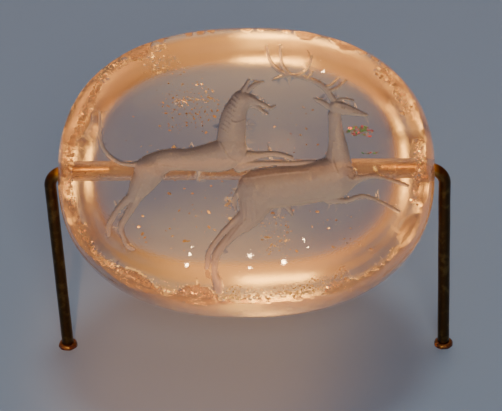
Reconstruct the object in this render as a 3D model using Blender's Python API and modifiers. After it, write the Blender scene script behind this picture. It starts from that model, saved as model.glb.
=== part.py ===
"""Ancient seal: a rock-crystal scaraboid, engraved with a hound springing at a stag, on two bent pins.

Metres, +Z up. +X runs along the seal, the engraved face looks towards -Y and up, and the origin lies
on the deck, midway between the two pins that hold the seal by its bore.
"""

import math
import random

import bmesh
import bpy
from mathutils import Matrix, Vector
from mathutils.geometry import delaunay_2d_cdt

MM = 0.001

# The seal: flat in front, widest at its girdle, domed behind
GIRDLE_HALF_LENGTH = 15.5 * MM
GIRDLE_HALF_WIDTH = 11.95 * MM
GIRDLE_DEPTH = 3.7 * MM
DOME_DEPTH = 10.0 * MM
DOME_SHIFT = 1.2 * MM
FACE_INSET = 0.75 * MM
GIRDLE_POWER = 2.31
FACE_POWER = 2.42
FACE_TILT = math.radians(46)

# The pins, and the bore that the seal hangs by
PIN_RADIUS = 0.5 * MM
PIN_IN_BORE = 4.4 * MM
PIN_BEND_RADIUS = 1.45 * MM
PIN_CLEAR_OF_END = 0.3 * MM
BORE_PLAY = 0.325 * MM
BORE_AHEAD_OF_GIRDLE = 0.25 * MM
BORE_HEIGHT = 18.05 * MM
ROOF_GAP = 0.1 * MM
BORE_RADIUS = PIN_RADIUS + BORE_PLAY
BORE_BEHIND_FACE = GIRDLE_DEPTH - BORE_AHEAD_OF_GIRDLE
PIN_X = GIRDLE_HALF_LENGTH + PIN_CLEAR_OF_END + PIN_RADIUS
PIN_HEIGHT = BORE_HEIGHT + BORE_PLAY - ROOF_GAP

# The collar at the foot of each pin
BEAD_GAP = 0.06 * MM
BEAD_WALL = 0.28 * MM
BEAD_HEIGHT = 0.36 * MM

# The engraving: depth is a share of a form's half width, and no form is shallower than the scratch
CARVED_SHARE = 0.55
SCRATCH_DEPTH = 0.06 * MM

# Figures are drawn on a grid of divisions that spans the face, about a millimetre each
GRID_HALF_LENGTH = 14.75
GRID_HALF_WIDTH = 11.2

# Each form is a groove through points (along, up, half width), in divisions of that grid
HOUND = {
    "trunk": [(-7.7, -0.3, 1.15), (-6.2, 0.45, 0.95), (-4.2, 0.5, 0.95), (-1.8, 0.8, 1.3), (-1.0, 1.3, 1.3)],
    "neck": [(-1.0, 1.6, 1.2), (-0.9, 3.0, 1.1), (-0.7, 4.3, 0.95), (-0.2, 5.2, 0.8)],
    "head": [(-0.2, 5.4, 0.75), (0.5, 5.35, 0.5), (1.0, 5.2, 0.3)],
    "upper jaw": [(0.9, 5.2, 0.28), (1.6, 4.97, 0.19), (2.15, 4.65, 0.16), (2.6, 4.85, 0.1)],
    "lower jaw": [(0.8, 4.95, 0.25), (1.25, 4.65, 0.17), (1.6, 4.37, 0.14), (2.0, 4.18, 0.1)],
    "near ear": [(-0.25, 5.7, 0.27), (0.1, 6.3, 0.22), (0.5, 7.05, 0.1)],
    "far ear": [(0.35, 6.1, 0.22), (0.95, 6.62, 0.19), (1.6, 6.85, 0.1)],
    "upper foreleg": [(-0.2, 0.6, 0.6), (1.2, 0.8, 0.32), (2.6, 0.9, 0.22), (3.9, 0.55, 0.2)],
    "lower foreleg": [(-0.3, -0.1, 0.5), (1.6, 0.1, 0.26), (4.0, 0.1, 0.22), (5.7, 0.2, 0.18)],
    "haunch": [(-7.5, -0.4, 1.2), (-8.2, -1.5, 0.95), (-8.8, -2.5, 0.6)],
    "near hind leg": [(-8.6, -2.6, 0.45), (-9.4, -4.0, 0.3), (-9.9, -5.1, 0.24), (-9.4, -6.3, 0.2)],
    "far hind leg": [(-8.9, -2.3, 0.4), (-10.1, -3.5, 0.27), (-10.8, -4.7, 0.22), (-10.9, -5.6, 0.18)],
    "tail": [(-8.0, 0.3, 0.3), (-9.1, 0.12, 0.2), (-10.4, 0.5, 0.17), (-11.5, 1.8, 0.15), (-11.7, 4.5, 0.1)],
}
STAG = {
    "trunk": [(1.3, -2.0, 1.75), (3.0, -1.8, 1.7), (5.0, -1.6, 1.65), (7.2, -1.1, 1.75)],
    "neck": [(7.6, -0.2, 1.15), (7.65, 1.2, 0.8), (7.5, 2.6, 0.6), (7.4, 4.0, 0.55)],
    "head": [(7.5, 4.7, 0.6), (8.4, 4.45, 0.42), (9.2, 4.2, 0.26), (10.0, 4.0, 0.12)],
    "ear": [(7.0, 4.7, 0.26), (6.4, 5.1, 0.22), (5.75, 5.4, 0.1)],
    "beam": [(7.3, 5.3, 0.26), (6.55, 6.35, 0.21), (5.35, 7.02, 0.18), (3.7, 7.36, 0.16), (2.4, 7.0, 0.1)],
    "brow tine": [(7.5, 5.2, 0.15), (8.2, 5.35, 0.12), (8.9, 5.2, 0.1)],
    "front tine": [(7.0, 6.0, 0.15), (7.75, 6.34, 0.13), (8.35, 6.85, 0.1)],
    "bay tine": [(6.7, 6.3, 0.15), (7.25, 6.55, 0.13), (7.75, 7.05, 0.1)],
    "middle tine": [(5.25, 7.1, 0.14), (5.45, 7.3, 0.12), (5.6, 7.6, 0.1)],
    "inner tine": [(4.35, 7.3, 0.15), (4.9, 7.52, 0.14), (5.33, 8.1, 0.13), (5.55, 8.9, 0.1)],
    "back tine": [(3.8, 7.4, 0.15), (3.3, 7.95, 0.14), (3.05, 8.8, 0.13), (3.0, 9.8, 0.1)],
    "crown tine": [(3.5, 7.4, 0.16), (2.75, 7.87, 0.15), (2.15, 8.65, 0.14), (1.9, 9.8, 0.1)],
    "near foreleg": [(8.2, -1.6, 0.7), (9.3, -1.2, 0.32), (10.8, -1.05, 0.18), (13.2, -1.8, 0.14)],
    "far foreleg": [(6.8, -2.8, 0.4), (8.2, -3.0, 0.24), (9.9, -2.65, 0.17), (12.5, -3.9, 0.14)],
    "thigh": [(1.2, -2.4, 1.6), (0.8, -3.7, 1.1), (0.1, -4.8, 0.7)],
    "near hind leg": [(0.3, -4.6, 0.65), (-0.9, -5.7, 0.42), (-2.1, -7.2, 0.3), (-2.3, -8.8, 0.26)],
    "near hind hoof": [(-2.3, -8.8, 0.26), (-2.0, -9.6, 0.38), (-1.9, -10.2, 0.3)],
    "far hind leg": [(0.0, -4.0, 0.4), (-1.5, -5.4, 0.25), (-2.7, -7.0, 0.2), (-2.9, -8.3, 0.18)],
    "tail": [(0.1, -1.6, 0.35), (-0.7, -2.8, 0.22), (-0.6, -3.7, 0.12)],
    "sheath": [(3.4, -3.2, 0.3), (3.8, -3.8, 0.16), (3.95, -4.1, 0.1)],
}

# Chips along the face's edge: where, as an angle round it, then size and bite, as shares of the depth
# to the girdle, and how much the break leans onto the face rather than down the side
CHIPS = {
    "shell break": (163, 0.85, 0.29, 0.74),
    "shoulder break": (152, 0.7, 0.24, 0.7),
    "upper left sparkle": (122, 0.45, 0.13, 0.7),
    "lower left strip": (207, 1.6, 0.13, 0.7),
    "lower left flake": (196, 0.5, 0.16, 0.65),
    "lower left bevel": (236, 3.0, 0.12, 0.7),
    "foot flake": (259, 0.9, 0.16, 0.75),
    "right end crumble": (-7, 0.45, 0.18, 0.6),
    "right arc": (-25, 0.7, 0.17, 0.7),
    "lower right flake": (-62, 1.4, 0.09, 0.65),
    "upper right sparkle": (34, 0.4, 0.1, 0.6),
    "top flake": (60, 0.7, 0.08, 0.6),
    "top facet": (74, 0.4, 0.1, 0.55),
}
NICK_COUNT = 80
NICK_SEED = 7
NICK_SIZES = (0.07, 0.19)

# How finely the seal's surface is faceted
OUTLINE_STEPS = 144
SIDE_SHARES = (0.08, 0.2, 0.38, 0.62, 1.0)
DOME_RINGS = 10
FACE_LATTICE = 1.45 * MM
RIM_ROWS = (0.35 * MM, 0.85 * MM)
CLOSEST_POINTS = 0.11 * MM
BORE_SIDES = 24
CURVE_STEPS = 14


def material(name, colour, roughness, metallic=0.0, transmission=0.0):
    """A plain Principled material for one of the finishes."""
    made = bpy.data.materials.new(name)
    made.use_nodes = True
    shader = made.node_tree.nodes["Principled BSDF"]
    shader.inputs["Base Color"].default_value = (*colour, 1)
    shader.inputs["Roughness"].default_value = roughness
    shader.inputs["Metallic"].default_value = metallic
    shader.inputs["Transmission Weight"].default_value = transmission
    shader.inputs["IOR"].default_value = 1.54
    return made


def add(name, mesh, collection, finish=None):
    """A new object in the given collection."""
    made = bpy.data.objects.new(name, mesh)
    collection.objects.link(made)
    if finish:
        mesh.materials.append(finish)
    return made


def rounded_oval(angle, half_length, half_width, power):
    """A point of a superellipse: an oval whose ends are a little blunter than an ellipse's."""
    across, along = math.sin(angle), math.cos(angle)
    return Vector(
        (
            math.copysign(abs(along) ** (2 / power), along) * half_length,
            math.copysign(abs(across) ** (2 / power), across) * half_width,
        )
    )


def outline_point(angle, share):
    """A point of the seal's side, where share runs from 0 at the face's edge to 1 at the girdle."""
    bulge = 1 - (1 - share) ** 2
    inset = FACE_INSET * (1 - bulge)
    ends = (GIRDLE_HALF_LENGTH - inset, GIRDLE_HALF_WIDTH - inset)
    point = rounded_oval(angle, *ends, FACE_POWER).lerp(rounded_oval(angle, *ends, GIRDLE_POWER), bulge)
    return Vector((*point, -GIRDLE_DEPTH * share))


def smooth_through(points, steps):
    """Points of a Catmull-Rom curve through the given ones, with the half widths eased as well."""
    padded = [points[0], *points, points[-1]]
    curve = []
    for before, start, end, after in zip(padded, padded[1:], padded[2:], padded[3:]):
        for step in range(steps):
            t = step / steps
            curve.append(
                0.5 * (2 * start + (end - before) * t + (2 * before - 5 * start + 4 * end - after) * t**2)
                + 0.5 * (3 * start - before - 3 * end + after) * t**3
            )
    curve.append(points[-1])
    return curve


def grooves():
    """Every engraved form as a list of (along, up, half width) in metres."""
    unit_long = (GIRDLE_HALF_LENGTH - FACE_INSET) / GRID_HALF_LENGTH
    unit_wide = (GIRDLE_HALF_WIDTH - FACE_INSET) / GRID_HALF_WIDTH
    made = []
    for figure in (HOUND, STAG):
        for form in figure.values():
            drawn = [Vector((u * unit_long, v * unit_wide, half * unit_wide)) for u, v, half in form]
            made.append(smooth_through(drawn, CURVE_STEPS))
    return made


def carved_depth(place, forms):
    """How deep the engraving is at a place on the face: the deepest of the forms that reach it."""
    deepest = 0.0
    for form in forms:
        for start, end in zip(form, form[1:]):
            run = (end - start).xy
            share = min(max((place - start.xy).dot(run) / max(run.length_squared, 1e-12), 0), 1)
            half = start.z + (end.z - start.z) * share
            off = (place - start.xy - run * share).length
            if off < half:
                depth = (CARVED_SHARE * half + SCRATCH_DEPTH) * math.sqrt(1 - (off / half) ** 2)
                deepest = max(deepest, depth)
    return deepest


def rows_along(form):
    """Places along one engraved form: its middle, its two edges and, where it is wide, rows between."""
    places = []
    travelled = 0.0
    for before, here in zip(form, form[1:]):
        step = (here - before).xy
        travelled += step.length
        if travelled < max(0.28 * MM, 0.4 * here.z):
            continue
        travelled = 0.0
        side = Vector((-step.y, step.x)).normalized()
        narrow, wide = here.z < 0.3 * MM, here.z > 0.8 * MM
        for offset in (0, 0.97) if narrow else (0, 0.4, 0.75, 0.99) if wide else (0, 0.6, 0.99):
            places.append(here.xy + side * here.z * offset)
            places.append(here.xy - side * here.z * offset)
    return places


def face_places(forms):
    """The face's points: its edge first, then rows along each form and a lattice in between."""
    edge = [outline_point(math.tau * k / OUTLINE_STEPS, 0).xy for k in range(OUTLINE_STEPS)]
    wanted = [(place, CLOSEST_POINTS) for form in forms for place in rows_along(form)]
    ends = (GIRDLE_HALF_LENGTH - FACE_INSET, GIRDLE_HALF_WIDTH - FACE_INSET)
    for inset in RIM_ROWS:
        for k in range(OUTLINE_STEPS):
            angle = math.tau * (k + 0.5) / OUTLINE_STEPS
            place = rounded_oval(angle, ends[0] - inset, ends[1] - inset, FACE_POWER)
            wanted.append((place, 2 * CLOSEST_POINTS))
    row_gap = FACE_LATTICE * math.sqrt(0.75)
    rows = int(ends[1] / row_gap) + 1
    columns = int(ends[0] / FACE_LATTICE) + 1
    for row in range(-rows, rows + 1):
        for column in range(-columns, columns + 1):
            place = Vector(((column + 0.5 * (row % 2)) * FACE_LATTICE, row * row_gap))
            wanted.append((place, 0.5 * FACE_LATTICE))
    kept = list(edge)
    for place, gap in wanted:
        reach = abs(place.x / ends[0]) ** FACE_POWER + abs(place.y / ends[1]) ** FACE_POWER
        if reach < 0.97 and all((place - other).length > gap for other in kept):
            kept.append(place)
    return kept


def chips():
    """Each break as a ball that stands outside the stone and bites into the face's edge."""
    sizes = [(math.radians(turn), *rest) for turn, *rest in CHIPS.values()]
    pick = random.Random(NICK_SEED)
    for _ in range(NICK_COUNT):
        size = pick.uniform(*NICK_SIZES)
        sizes.append((pick.uniform(0, math.tau), size, 0.35 * size, pick.uniform(0.3, 0.7)))
    balls = []
    for angle, size, bite, lean in sizes:
        edge = outline_point(angle, 0)
        ahead = outline_point(angle + 0.01, 0) - outline_point(angle - 0.01, 0)
        out = Vector((ahead.y, -ahead.x, 0)).normalized()
        way = (out * (1 - lean) + Vector((0, 0, 1)) * lean).normalized()
        radius = size * GIRDLE_DEPTH
        balls.append((edge + way * (radius - bite * GIRDLE_DEPTH), radius))
    return balls


def broken(point, balls):
    """The point, pushed out of any ball that bites it."""
    for centre, radius in balls:
        away = point - centre
        if away.length < radius:
            point = centre + away.normalized() * radius
    return point


def seal_mesh():
    """The stone as one closed skin: engraved face, bulging side and dome."""
    forms = grooves()
    balls = chips()
    places = face_places(forms)
    edge_loop = [(k, (k + 1) % OUTLINE_STEPS) for k in range(OUTLINE_STEPS)]
    in_mm = [place / MM for place in places]
    flat, _, triangles, origins, _, _ = delaunay_2d_cdt(in_mm, edge_loop, [], 1, 1e-5)
    skin = bmesh.new()
    face = []
    for place, origin in zip(flat, origins):
        on_edge = origin[0] < OUTLINE_STEPS
        depth = 0.0 if on_edge else carved_depth(place * MM, forms)
        face.append(skin.verts.new(broken(Vector((*(place * MM), -depth)), balls)))
    ring = [None] * OUTLINE_STEPS
    for vertex, origin in zip(face, origins):
        if origin[0] < OUTLINE_STEPS:
            ring[origin[0]] = vertex
    for corners in triangles:
        skin.faces.new([face[k] for k in corners])
    turns = [math.tau * k / OUTLINE_STEPS for k in range(OUTLINE_STEPS)]
    shapes = [[outline_point(turn, share) for turn in turns] for share in SIDE_SHARES]
    girdle = shapes[-1]
    # The dome's highest point lies a little towards the face's top edge
    dome_way = Vector((0, DOME_SHIFT, -DOME_DEPTH))
    for step in range(1, DOME_RINGS):
        rise = 0.5 * math.pi * step / DOME_RINGS
        back = dome_way * math.sin(rise)
        shapes.append([Vector((*(point.xy * math.cos(rise)), point.z)) + back for point in girdle])
    for shape in shapes:
        below = [skin.verts.new(broken(point, balls)) for point in shape]
        for k in range(OUTLINE_STEPS):
            after = (k + 1) % OUTLINE_STEPS
            skin.faces.new((ring[k], below[k], below[after], ring[after]))
        ring = below
    apex = skin.verts.new(Vector((0, 0, -GIRDLE_DEPTH)) + dome_way)
    for k in range(OUTLINE_STEPS):
        skin.faces.new((ring[k], apex, ring[(k + 1) % OUTLINE_STEPS]))
    bmesh.ops.recalc_face_normals(skin, faces=skin.faces)
    bmesh.ops.triangulate(skin, faces=[face for face in skin.faces if len(face.verts) > 3])
    # The object's own origin is the middle of the bore
    bmesh.ops.translate(skin, verts=skin.verts, vec=(0, 0, BORE_BEHIND_FACE))
    mesh = bpy.data.meshes.new("seal")
    skin.to_mesh(mesh)
    skin.free()
    mesh.shade_smooth()
    mesh.set_sharp_from_angle(angle=math.radians(30))
    return mesh


def add_seal(parts, cutters, finish):
    """The stone, leaning back on the pins, with its bore cut right through from end to end."""
    seal = add("seal", seal_mesh(), parts, finish)
    seal.location = (0, 0, BORE_HEIGHT)
    seal.rotation_euler = (FACE_TILT, 0, 0)
    drill_mesh = bpy.data.meshes.new("bore")
    drill = bmesh.new()
    bmesh.ops.create_cone(
        drill,
        cap_ends=True,
        segments=BORE_SIDES,
        radius1=BORE_RADIUS,
        radius2=BORE_RADIUS,
        depth=3 * GIRDLE_HALF_LENGTH,
        matrix=Matrix.Rotation(math.pi / 2, 4, "Y"),
    )
    drill.to_mesh(drill_mesh)
    drill.free()
    bore = add("bore", drill_mesh, cutters)
    bore.parent = seal
    bore.hide_render = True
    bore.display_type = "WIRE"
    cut = seal.modifiers.new("bore", "BOOLEAN")
    cut.object = bore
    cut.operation = "DIFFERENCE"
    cut.solver = "EXACT"


def add_pin(name, side, parts, finish):
    """A bent wire: up from the deck, over in a round bend and into one end of the bore."""
    wire = bpy.data.curves.new(name, "CURVE")
    wire.dimensions = "3D"
    wire.bevel_depth = PIN_RADIUS
    wire.bevel_resolution = 4
    wire.use_fill_caps = True
    bend = Vector((PIN_X - PIN_BEND_RADIUS, 0, PIN_HEIGHT - PIN_BEND_RADIUS))
    steps = 10
    route = [Vector((PIN_X, 0, 0))]
    for step in range(steps + 1):
        angle = 0.5 * math.pi * step / steps
        route.append(bend + PIN_BEND_RADIUS * Vector((math.cos(angle), 0, math.sin(angle))))
    route.append(Vector((GIRDLE_HALF_LENGTH - PIN_IN_BORE, 0, PIN_HEIGHT)))
    spline = wire.splines.new("POLY")
    spline.points.add(len(route) - 1)
    for point, place in zip(spline.points, route):
        point.co = (side * place.x, place.y, place.z, 1)
    return add(name, wire, parts, finish)


def add_foot_bead(name, side, parts, finish):
    """The collar at the pin's foot: a low ring with a rounded top, turned about the pin's axis."""
    inner = PIN_RADIUS + BEAD_GAP
    outer = inner + BEAD_WALL
    profile = bmesh.new()
    shoulder = 0.5 * BEAD_WALL
    outline = [(inner, 0), (inner, BEAD_HEIGHT)]
    for step in range(5):
        angle = 0.5 * math.pi * (1 - step / 4)
        across = outer - shoulder + shoulder * math.cos(angle)
        outline.append((across, BEAD_HEIGHT - shoulder + shoulder * math.sin(angle)))
    outline.append((outer, 0))
    corners = [profile.verts.new((x, 0, z)) for x, z in outline]
    for start, end in zip(corners, corners[1:] + corners[:1]):
        profile.edges.new((start, end))
    mesh = bpy.data.meshes.new(name)
    profile.to_mesh(mesh)
    profile.free()
    bead = add(name, mesh, parts, finish)
    bead.location = (side * PIN_X, 0, 0)
    turn = bead.modifiers.new("turned", "SCREW")
    turn.steps = 20
    turn.render_steps = 20
    turn.use_merge_vertices = True
    turn.merge_threshold = 0.000001


def main():
    """Clears the scene and builds every piece."""
    for old in list(bpy.data.objects):
        bpy.data.objects.remove(old, do_unlink=True)
    parts = bpy.data.collections.new("ancient seal")
    cutters = bpy.data.collections.new("cutters")
    cutters.hide_render = True
    for collection in (parts, cutters):
        bpy.context.scene.collection.children.link(collection)
    crystal = material("rock crystal", (0.93, 0.89, 0.85), 0.04, transmission=1.0)
    brass = material("dark brass", (0.36, 0.2, 0.07), 0.35, metallic=1.0)
    amber = material("amber resin", (0.45, 0.12, 0.02), 0.3)
    add_seal(parts, cutters, crystal)
    for word, side in (("left", -1), ("right", 1)):
        add_pin(f"{word}_pin", side, parts, brass)
        add_foot_bead(f"{word}_foot_bead", side, parts, amber)


if __name__ == "__main__":
    main()
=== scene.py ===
"""Looks of the ancient seal: engraved rock crystal on two bent brass pins, with a plain studio round it.

Everything is in metres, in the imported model's frame: +X runs along the seal, +Z is up, and the
engraved face looks towards -Y and up.
"""

from __future__ import annotations

import logging
import math
import random
from dataclasses import dataclass, field
from enum import Enum

import bmesh
import bpy
import numpy as np
from bpy.types import ID, Light, Material, Mesh, Node, NodeSocket, NodeTree, Object
from bpy.types import bpy_prop_collection as Items
from mathutils import Matrix, Vector, noise
from mathutils.geometry import delaunay_2d_cdt


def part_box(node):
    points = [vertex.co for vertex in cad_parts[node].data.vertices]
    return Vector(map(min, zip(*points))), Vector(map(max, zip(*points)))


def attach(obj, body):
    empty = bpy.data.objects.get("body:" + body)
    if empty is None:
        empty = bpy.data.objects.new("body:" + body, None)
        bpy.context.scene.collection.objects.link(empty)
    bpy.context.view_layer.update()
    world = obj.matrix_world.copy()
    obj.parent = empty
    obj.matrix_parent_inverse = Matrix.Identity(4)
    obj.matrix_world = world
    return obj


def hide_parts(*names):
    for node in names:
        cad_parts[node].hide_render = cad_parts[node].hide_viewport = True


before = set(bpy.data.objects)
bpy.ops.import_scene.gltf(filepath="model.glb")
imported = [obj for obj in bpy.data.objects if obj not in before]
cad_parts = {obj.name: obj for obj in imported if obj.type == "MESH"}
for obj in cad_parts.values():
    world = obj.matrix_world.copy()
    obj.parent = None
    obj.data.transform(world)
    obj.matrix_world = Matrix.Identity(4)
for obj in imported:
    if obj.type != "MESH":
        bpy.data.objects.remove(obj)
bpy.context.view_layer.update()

LOG = logging.getLogger("seal")
MM = 0.001
PHOTO_WIDTH = 502
SENSOR_MM = 36.0
TARGET_HEIGHT = 18.04 * MM
# How far the pins lie above the bore's axis without a gap, the gap, and the gap round a pin's foot
PLAY = 0.325 * MM
ROOF_GAP = 0.1 * MM
COLLAR_GAP = 0.02 * MM
# A flake's length, width and thickness
FLAKE_SHAPE = (1.0, 0.6, 0.12)

# Which sockets of a Mix node hold its share, its two colours and its result
MIX_SHARE, MIX_FIRST, MIX_SECOND, MIX_RESULT = 0, 6, 7, 2

Stroke = list[tuple[float, float, float]]
Colour = tuple[float, float, float]
Inputs = dict[str | int, object]


class Side(Enum):
    """Which end of the seal a pin stands at; the value is the sign of its X."""

    LEFT = -1
    RIGHT = 1


class Skin(Enum):
    """How a stretch of the stone's skin is left; the value is its place among the materials."""

    POLISHED = 0
    GROUND = 1
    BROKEN = 2


# The engraved figures: grooves through points (along, up, half width), on a grid of divisions that
# spans the face and is about a millimetre a division
HOUND: dict[str, Stroke] = {
    "trunk": [(-7.7, -0.3, 1.15), (-6.2, 0.45, 0.95), (-4.2, 0.5, 0.95), (-1.8, 0.8, 1.3), (-1.0, 1.3, 1.3)],
    "neck": [(-1.0, 1.6, 1.2), (-0.9, 3.0, 1.1), (-0.7, 4.3, 0.95), (-0.2, 5.2, 0.8)],
    "head": [(-0.2, 5.4, 0.75), (0.5, 5.35, 0.5), (1.0, 5.2, 0.3)],
    "upper jaw": [(0.9, 5.2, 0.28), (1.6, 4.97, 0.19), (2.15, 4.65, 0.16), (2.6, 4.85, 0.1)],
    "lower jaw": [(0.8, 4.95, 0.25), (1.25, 4.65, 0.17), (1.6, 4.37, 0.14), (2.0, 4.18, 0.1)],
    "near ear": [(-0.25, 5.7, 0.27), (0.1, 6.3, 0.22), (0.5, 7.05, 0.1)],
    "far ear": [(0.35, 6.1, 0.22), (0.95, 6.62, 0.19), (1.6, 6.85, 0.1)],
    "upper foreleg": [(-0.2, 0.6, 0.6), (1.2, 0.8, 0.32), (2.6, 0.9, 0.22), (3.9, 0.55, 0.2)],
    "lower foreleg": [(-0.3, -0.1, 0.5), (1.6, 0.1, 0.26), (4.0, 0.1, 0.22), (5.7, 0.2, 0.18)],
    "haunch": [(-7.5, -0.4, 1.2), (-8.2, -1.5, 0.95), (-8.8, -2.5, 0.6)],
    "near hind leg": [(-8.6, -2.6, 0.45), (-9.4, -4.0, 0.3), (-9.9, -5.1, 0.24), (-9.4, -6.3, 0.2)],
    "far hind leg": [(-8.9, -2.3, 0.4), (-10.1, -3.5, 0.27), (-10.8, -4.7, 0.22), (-10.9, -5.6, 0.18)],
    "tail": [(-8.0, 0.3, 0.3), (-9.1, 0.12, 0.2), (-10.4, 0.5, 0.17), (-11.5, 1.8, 0.15), (-11.7, 4.5, 0.1)],
}
STAG: dict[str, Stroke] = {
    "trunk": [(1.3, -2.0, 1.75), (3.0, -1.8, 1.7), (5.0, -1.6, 1.65), (7.2, -1.1, 1.75)],
    "neck": [(7.6, -0.2, 1.15), (7.65, 1.2, 0.8), (7.5, 2.6, 0.6), (7.4, 4.0, 0.55)],
    "head": [(7.5, 4.7, 0.6), (8.4, 4.45, 0.42), (9.2, 4.2, 0.26), (10.0, 4.0, 0.12)],
    "ear": [(7.0, 4.7, 0.26), (6.4, 5.1, 0.22), (5.75, 5.4, 0.1)],
    "beam": [(7.3, 5.3, 0.26), (6.55, 6.35, 0.21), (5.35, 7.02, 0.18), (3.7, 7.36, 0.16), (2.4, 7.0, 0.1)],
    "brow tine": [(7.5, 5.2, 0.15), (8.2, 5.35, 0.12), (8.9, 5.2, 0.1)],
    "front tine": [(7.0, 6.0, 0.15), (7.75, 6.34, 0.13), (8.35, 6.85, 0.1)],
    "bay tine": [(6.7, 6.3, 0.15), (7.25, 6.55, 0.13), (7.75, 7.05, 0.1)],
    "middle tine": [(5.25, 7.1, 0.14), (5.45, 7.3, 0.12), (5.6, 7.6, 0.1)],
    "inner tine": [(4.35, 7.3, 0.15), (4.9, 7.52, 0.14), (5.33, 8.1, 0.13), (5.55, 8.9, 0.1)],
    "back tine": [(3.8, 7.4, 0.15), (3.3, 7.95, 0.14), (3.05, 8.8, 0.13), (3.0, 9.8, 0.1)],
    "crown tine": [(3.5, 7.4, 0.16), (2.75, 7.87, 0.15), (2.15, 8.65, 0.14), (1.9, 9.8, 0.1)],
    "near foreleg": [(8.2, -1.6, 0.7), (9.3, -1.2, 0.32), (10.8, -1.05, 0.18), (13.2, -1.8, 0.14)],
    "far foreleg": [(6.8, -2.8, 0.4), (8.2, -3.0, 0.24), (9.9, -2.65, 0.17), (12.5, -3.9, 0.14)],
    "thigh": [(1.2, -2.4, 1.6), (0.8, -3.7, 1.1), (0.1, -4.8, 0.7)],
    "near hind leg": [(0.3, -4.6, 0.65), (-0.9, -5.7, 0.42), (-2.1, -7.2, 0.3), (-2.3, -8.8, 0.26)],
    "near hind hoof": [(-2.3, -8.8, 0.26), (-2.0, -9.6, 0.38), (-1.9, -10.2, 0.3)],
    "far hind leg": [(0.0, -4.0, 0.4), (-1.5, -5.4, 0.25), (-2.7, -7.0, 0.2), (-2.9, -8.3, 0.18)],
    "tail": [(0.1, -1.6, 0.35), (-0.7, -2.8, 0.22), (-0.6, -3.7, 0.12)],
    "sheath": [(3.4, -3.2, 0.3), (3.8, -3.8, 0.16), (3.95, -4.1, 0.1)],
}

# Fine strokes of the tool, cut a little deeper into the figures or round them
TOOLING: dict[str, Stroke] = {
    "hound's eye": [(0.55, 5.62, 0.12), (0.85, 5.5, 0.12)],
    "hound's brow": [(0.7, 5.75, 0.07), (1.3, 5.55, 0.07), (2.05, 5.0, 0.06)],
    "hound's collar": [(-1.5, 3.95, 0.07), (-0.7, 3.6, 0.08), (0.15, 3.75, 0.06)],
    "hound's shoulder": [(-1.9, 1.9, 0.08), (-1.2, 0.7, 0.1), (-0.3, 0.3, 0.08)],
    "hound's flank": [(-6.6, 0.1, 0.08), (-5.2, -0.15, 0.09), (-3.2, -0.25, 0.08)],
    "hound's hock": [(-8.3, -1.4, 0.07), (-8.9, -3.0, 0.08), (-9.6, -4.6, 0.06)],
    "hound's paws": [(-9.5, -6.3, 0.16), (-9.2, -6.65, 0.2), (-8.8, -6.8, 0.14)],
    "stag's eye": [(7.95, 4.62, 0.11), (8.15, 4.55, 0.11)],
    "stag's brow": [(7.7, 5.05, 0.07), (8.6, 4.8, 0.08), (9.9, 4.08, 0.06)],
    "stag's mouth": [(8.9, 4.2, 0.06), (9.9, 3.98, 0.06)],
    "stag's shoulder": [(8.4, -0.2, 0.09), (9.15, -0.65, 0.1), (8.85, -1.25, 0.09), (8.35, -0.85, 0.08)],
    "stag's breast": [(7.3, 1.9, 0.08), (7.2, 0.6, 0.1), (7.6, -0.6, 0.08)],
    "stag's back": [(-0.1, -1.0, 0.09), (2.2, -0.65, 0.1), (5.2, -0.4, 0.08)],
    "stag's belly": [(2.7, -3.35, 0.08), (4.6, -3.0, 0.1), (6.6, -2.7, 0.08)],
    "stag's hock": [(0.2, -4.4, 0.08), (-1.2, -6.2, 0.09), (-2.3, -8.2, 0.07)],
}

# Chips along the face's edge: where, as an angle round it, then size and bite, as shares of the depth
# to the girdle, and how much the break leans onto the face rather than down the side
CHIPS: dict[str, tuple[float, float, float, float]] = {
    "shell break": (163, 0.85, 0.29, 0.74),
    "shoulder break": (152, 0.7, 0.24, 0.7),
    "upper left sparkle": (122, 0.45, 0.13, 0.7),
    "lower left strip": (207, 1.6, 0.13, 0.7),
    "lower left flake": (196, 0.5, 0.16, 0.65),
    "lower left bevel": (236, 3.0, 0.12, 0.7),
    "foot flake": (259, 0.9, 0.16, 0.75),
    "right end crumble": (-7, 0.45, 0.18, 0.6),
    "right arc": (-25, 0.7, 0.17, 0.7),
    "lower right flake": (-62, 1.4, 0.09, 0.65),
    "upper right sparkle": (34, 0.4, 0.1, 0.6),
    "top flake": (60, 0.7, 0.08, 0.6),
    "top facet": (74, 0.4, 0.1, 0.55),
}

# Where the face's edge is crumbled: the middle and half width of a stretch, as angles, and how much
WORN_STRETCHES: dict[str, tuple[float, float, float]] = {
    "left end": (163, 42, 1.0),
    "lower left": (214, 34, 0.55),
    "foot": (262, 40, 0.4),
    "lower right": (318, 26, 0.5),
    "right end": (-4, 22, 0.45),
    "upper right": (32, 16, 0.9),
    "top": (78, 30, 0.25),
}


# Node helpers


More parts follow.
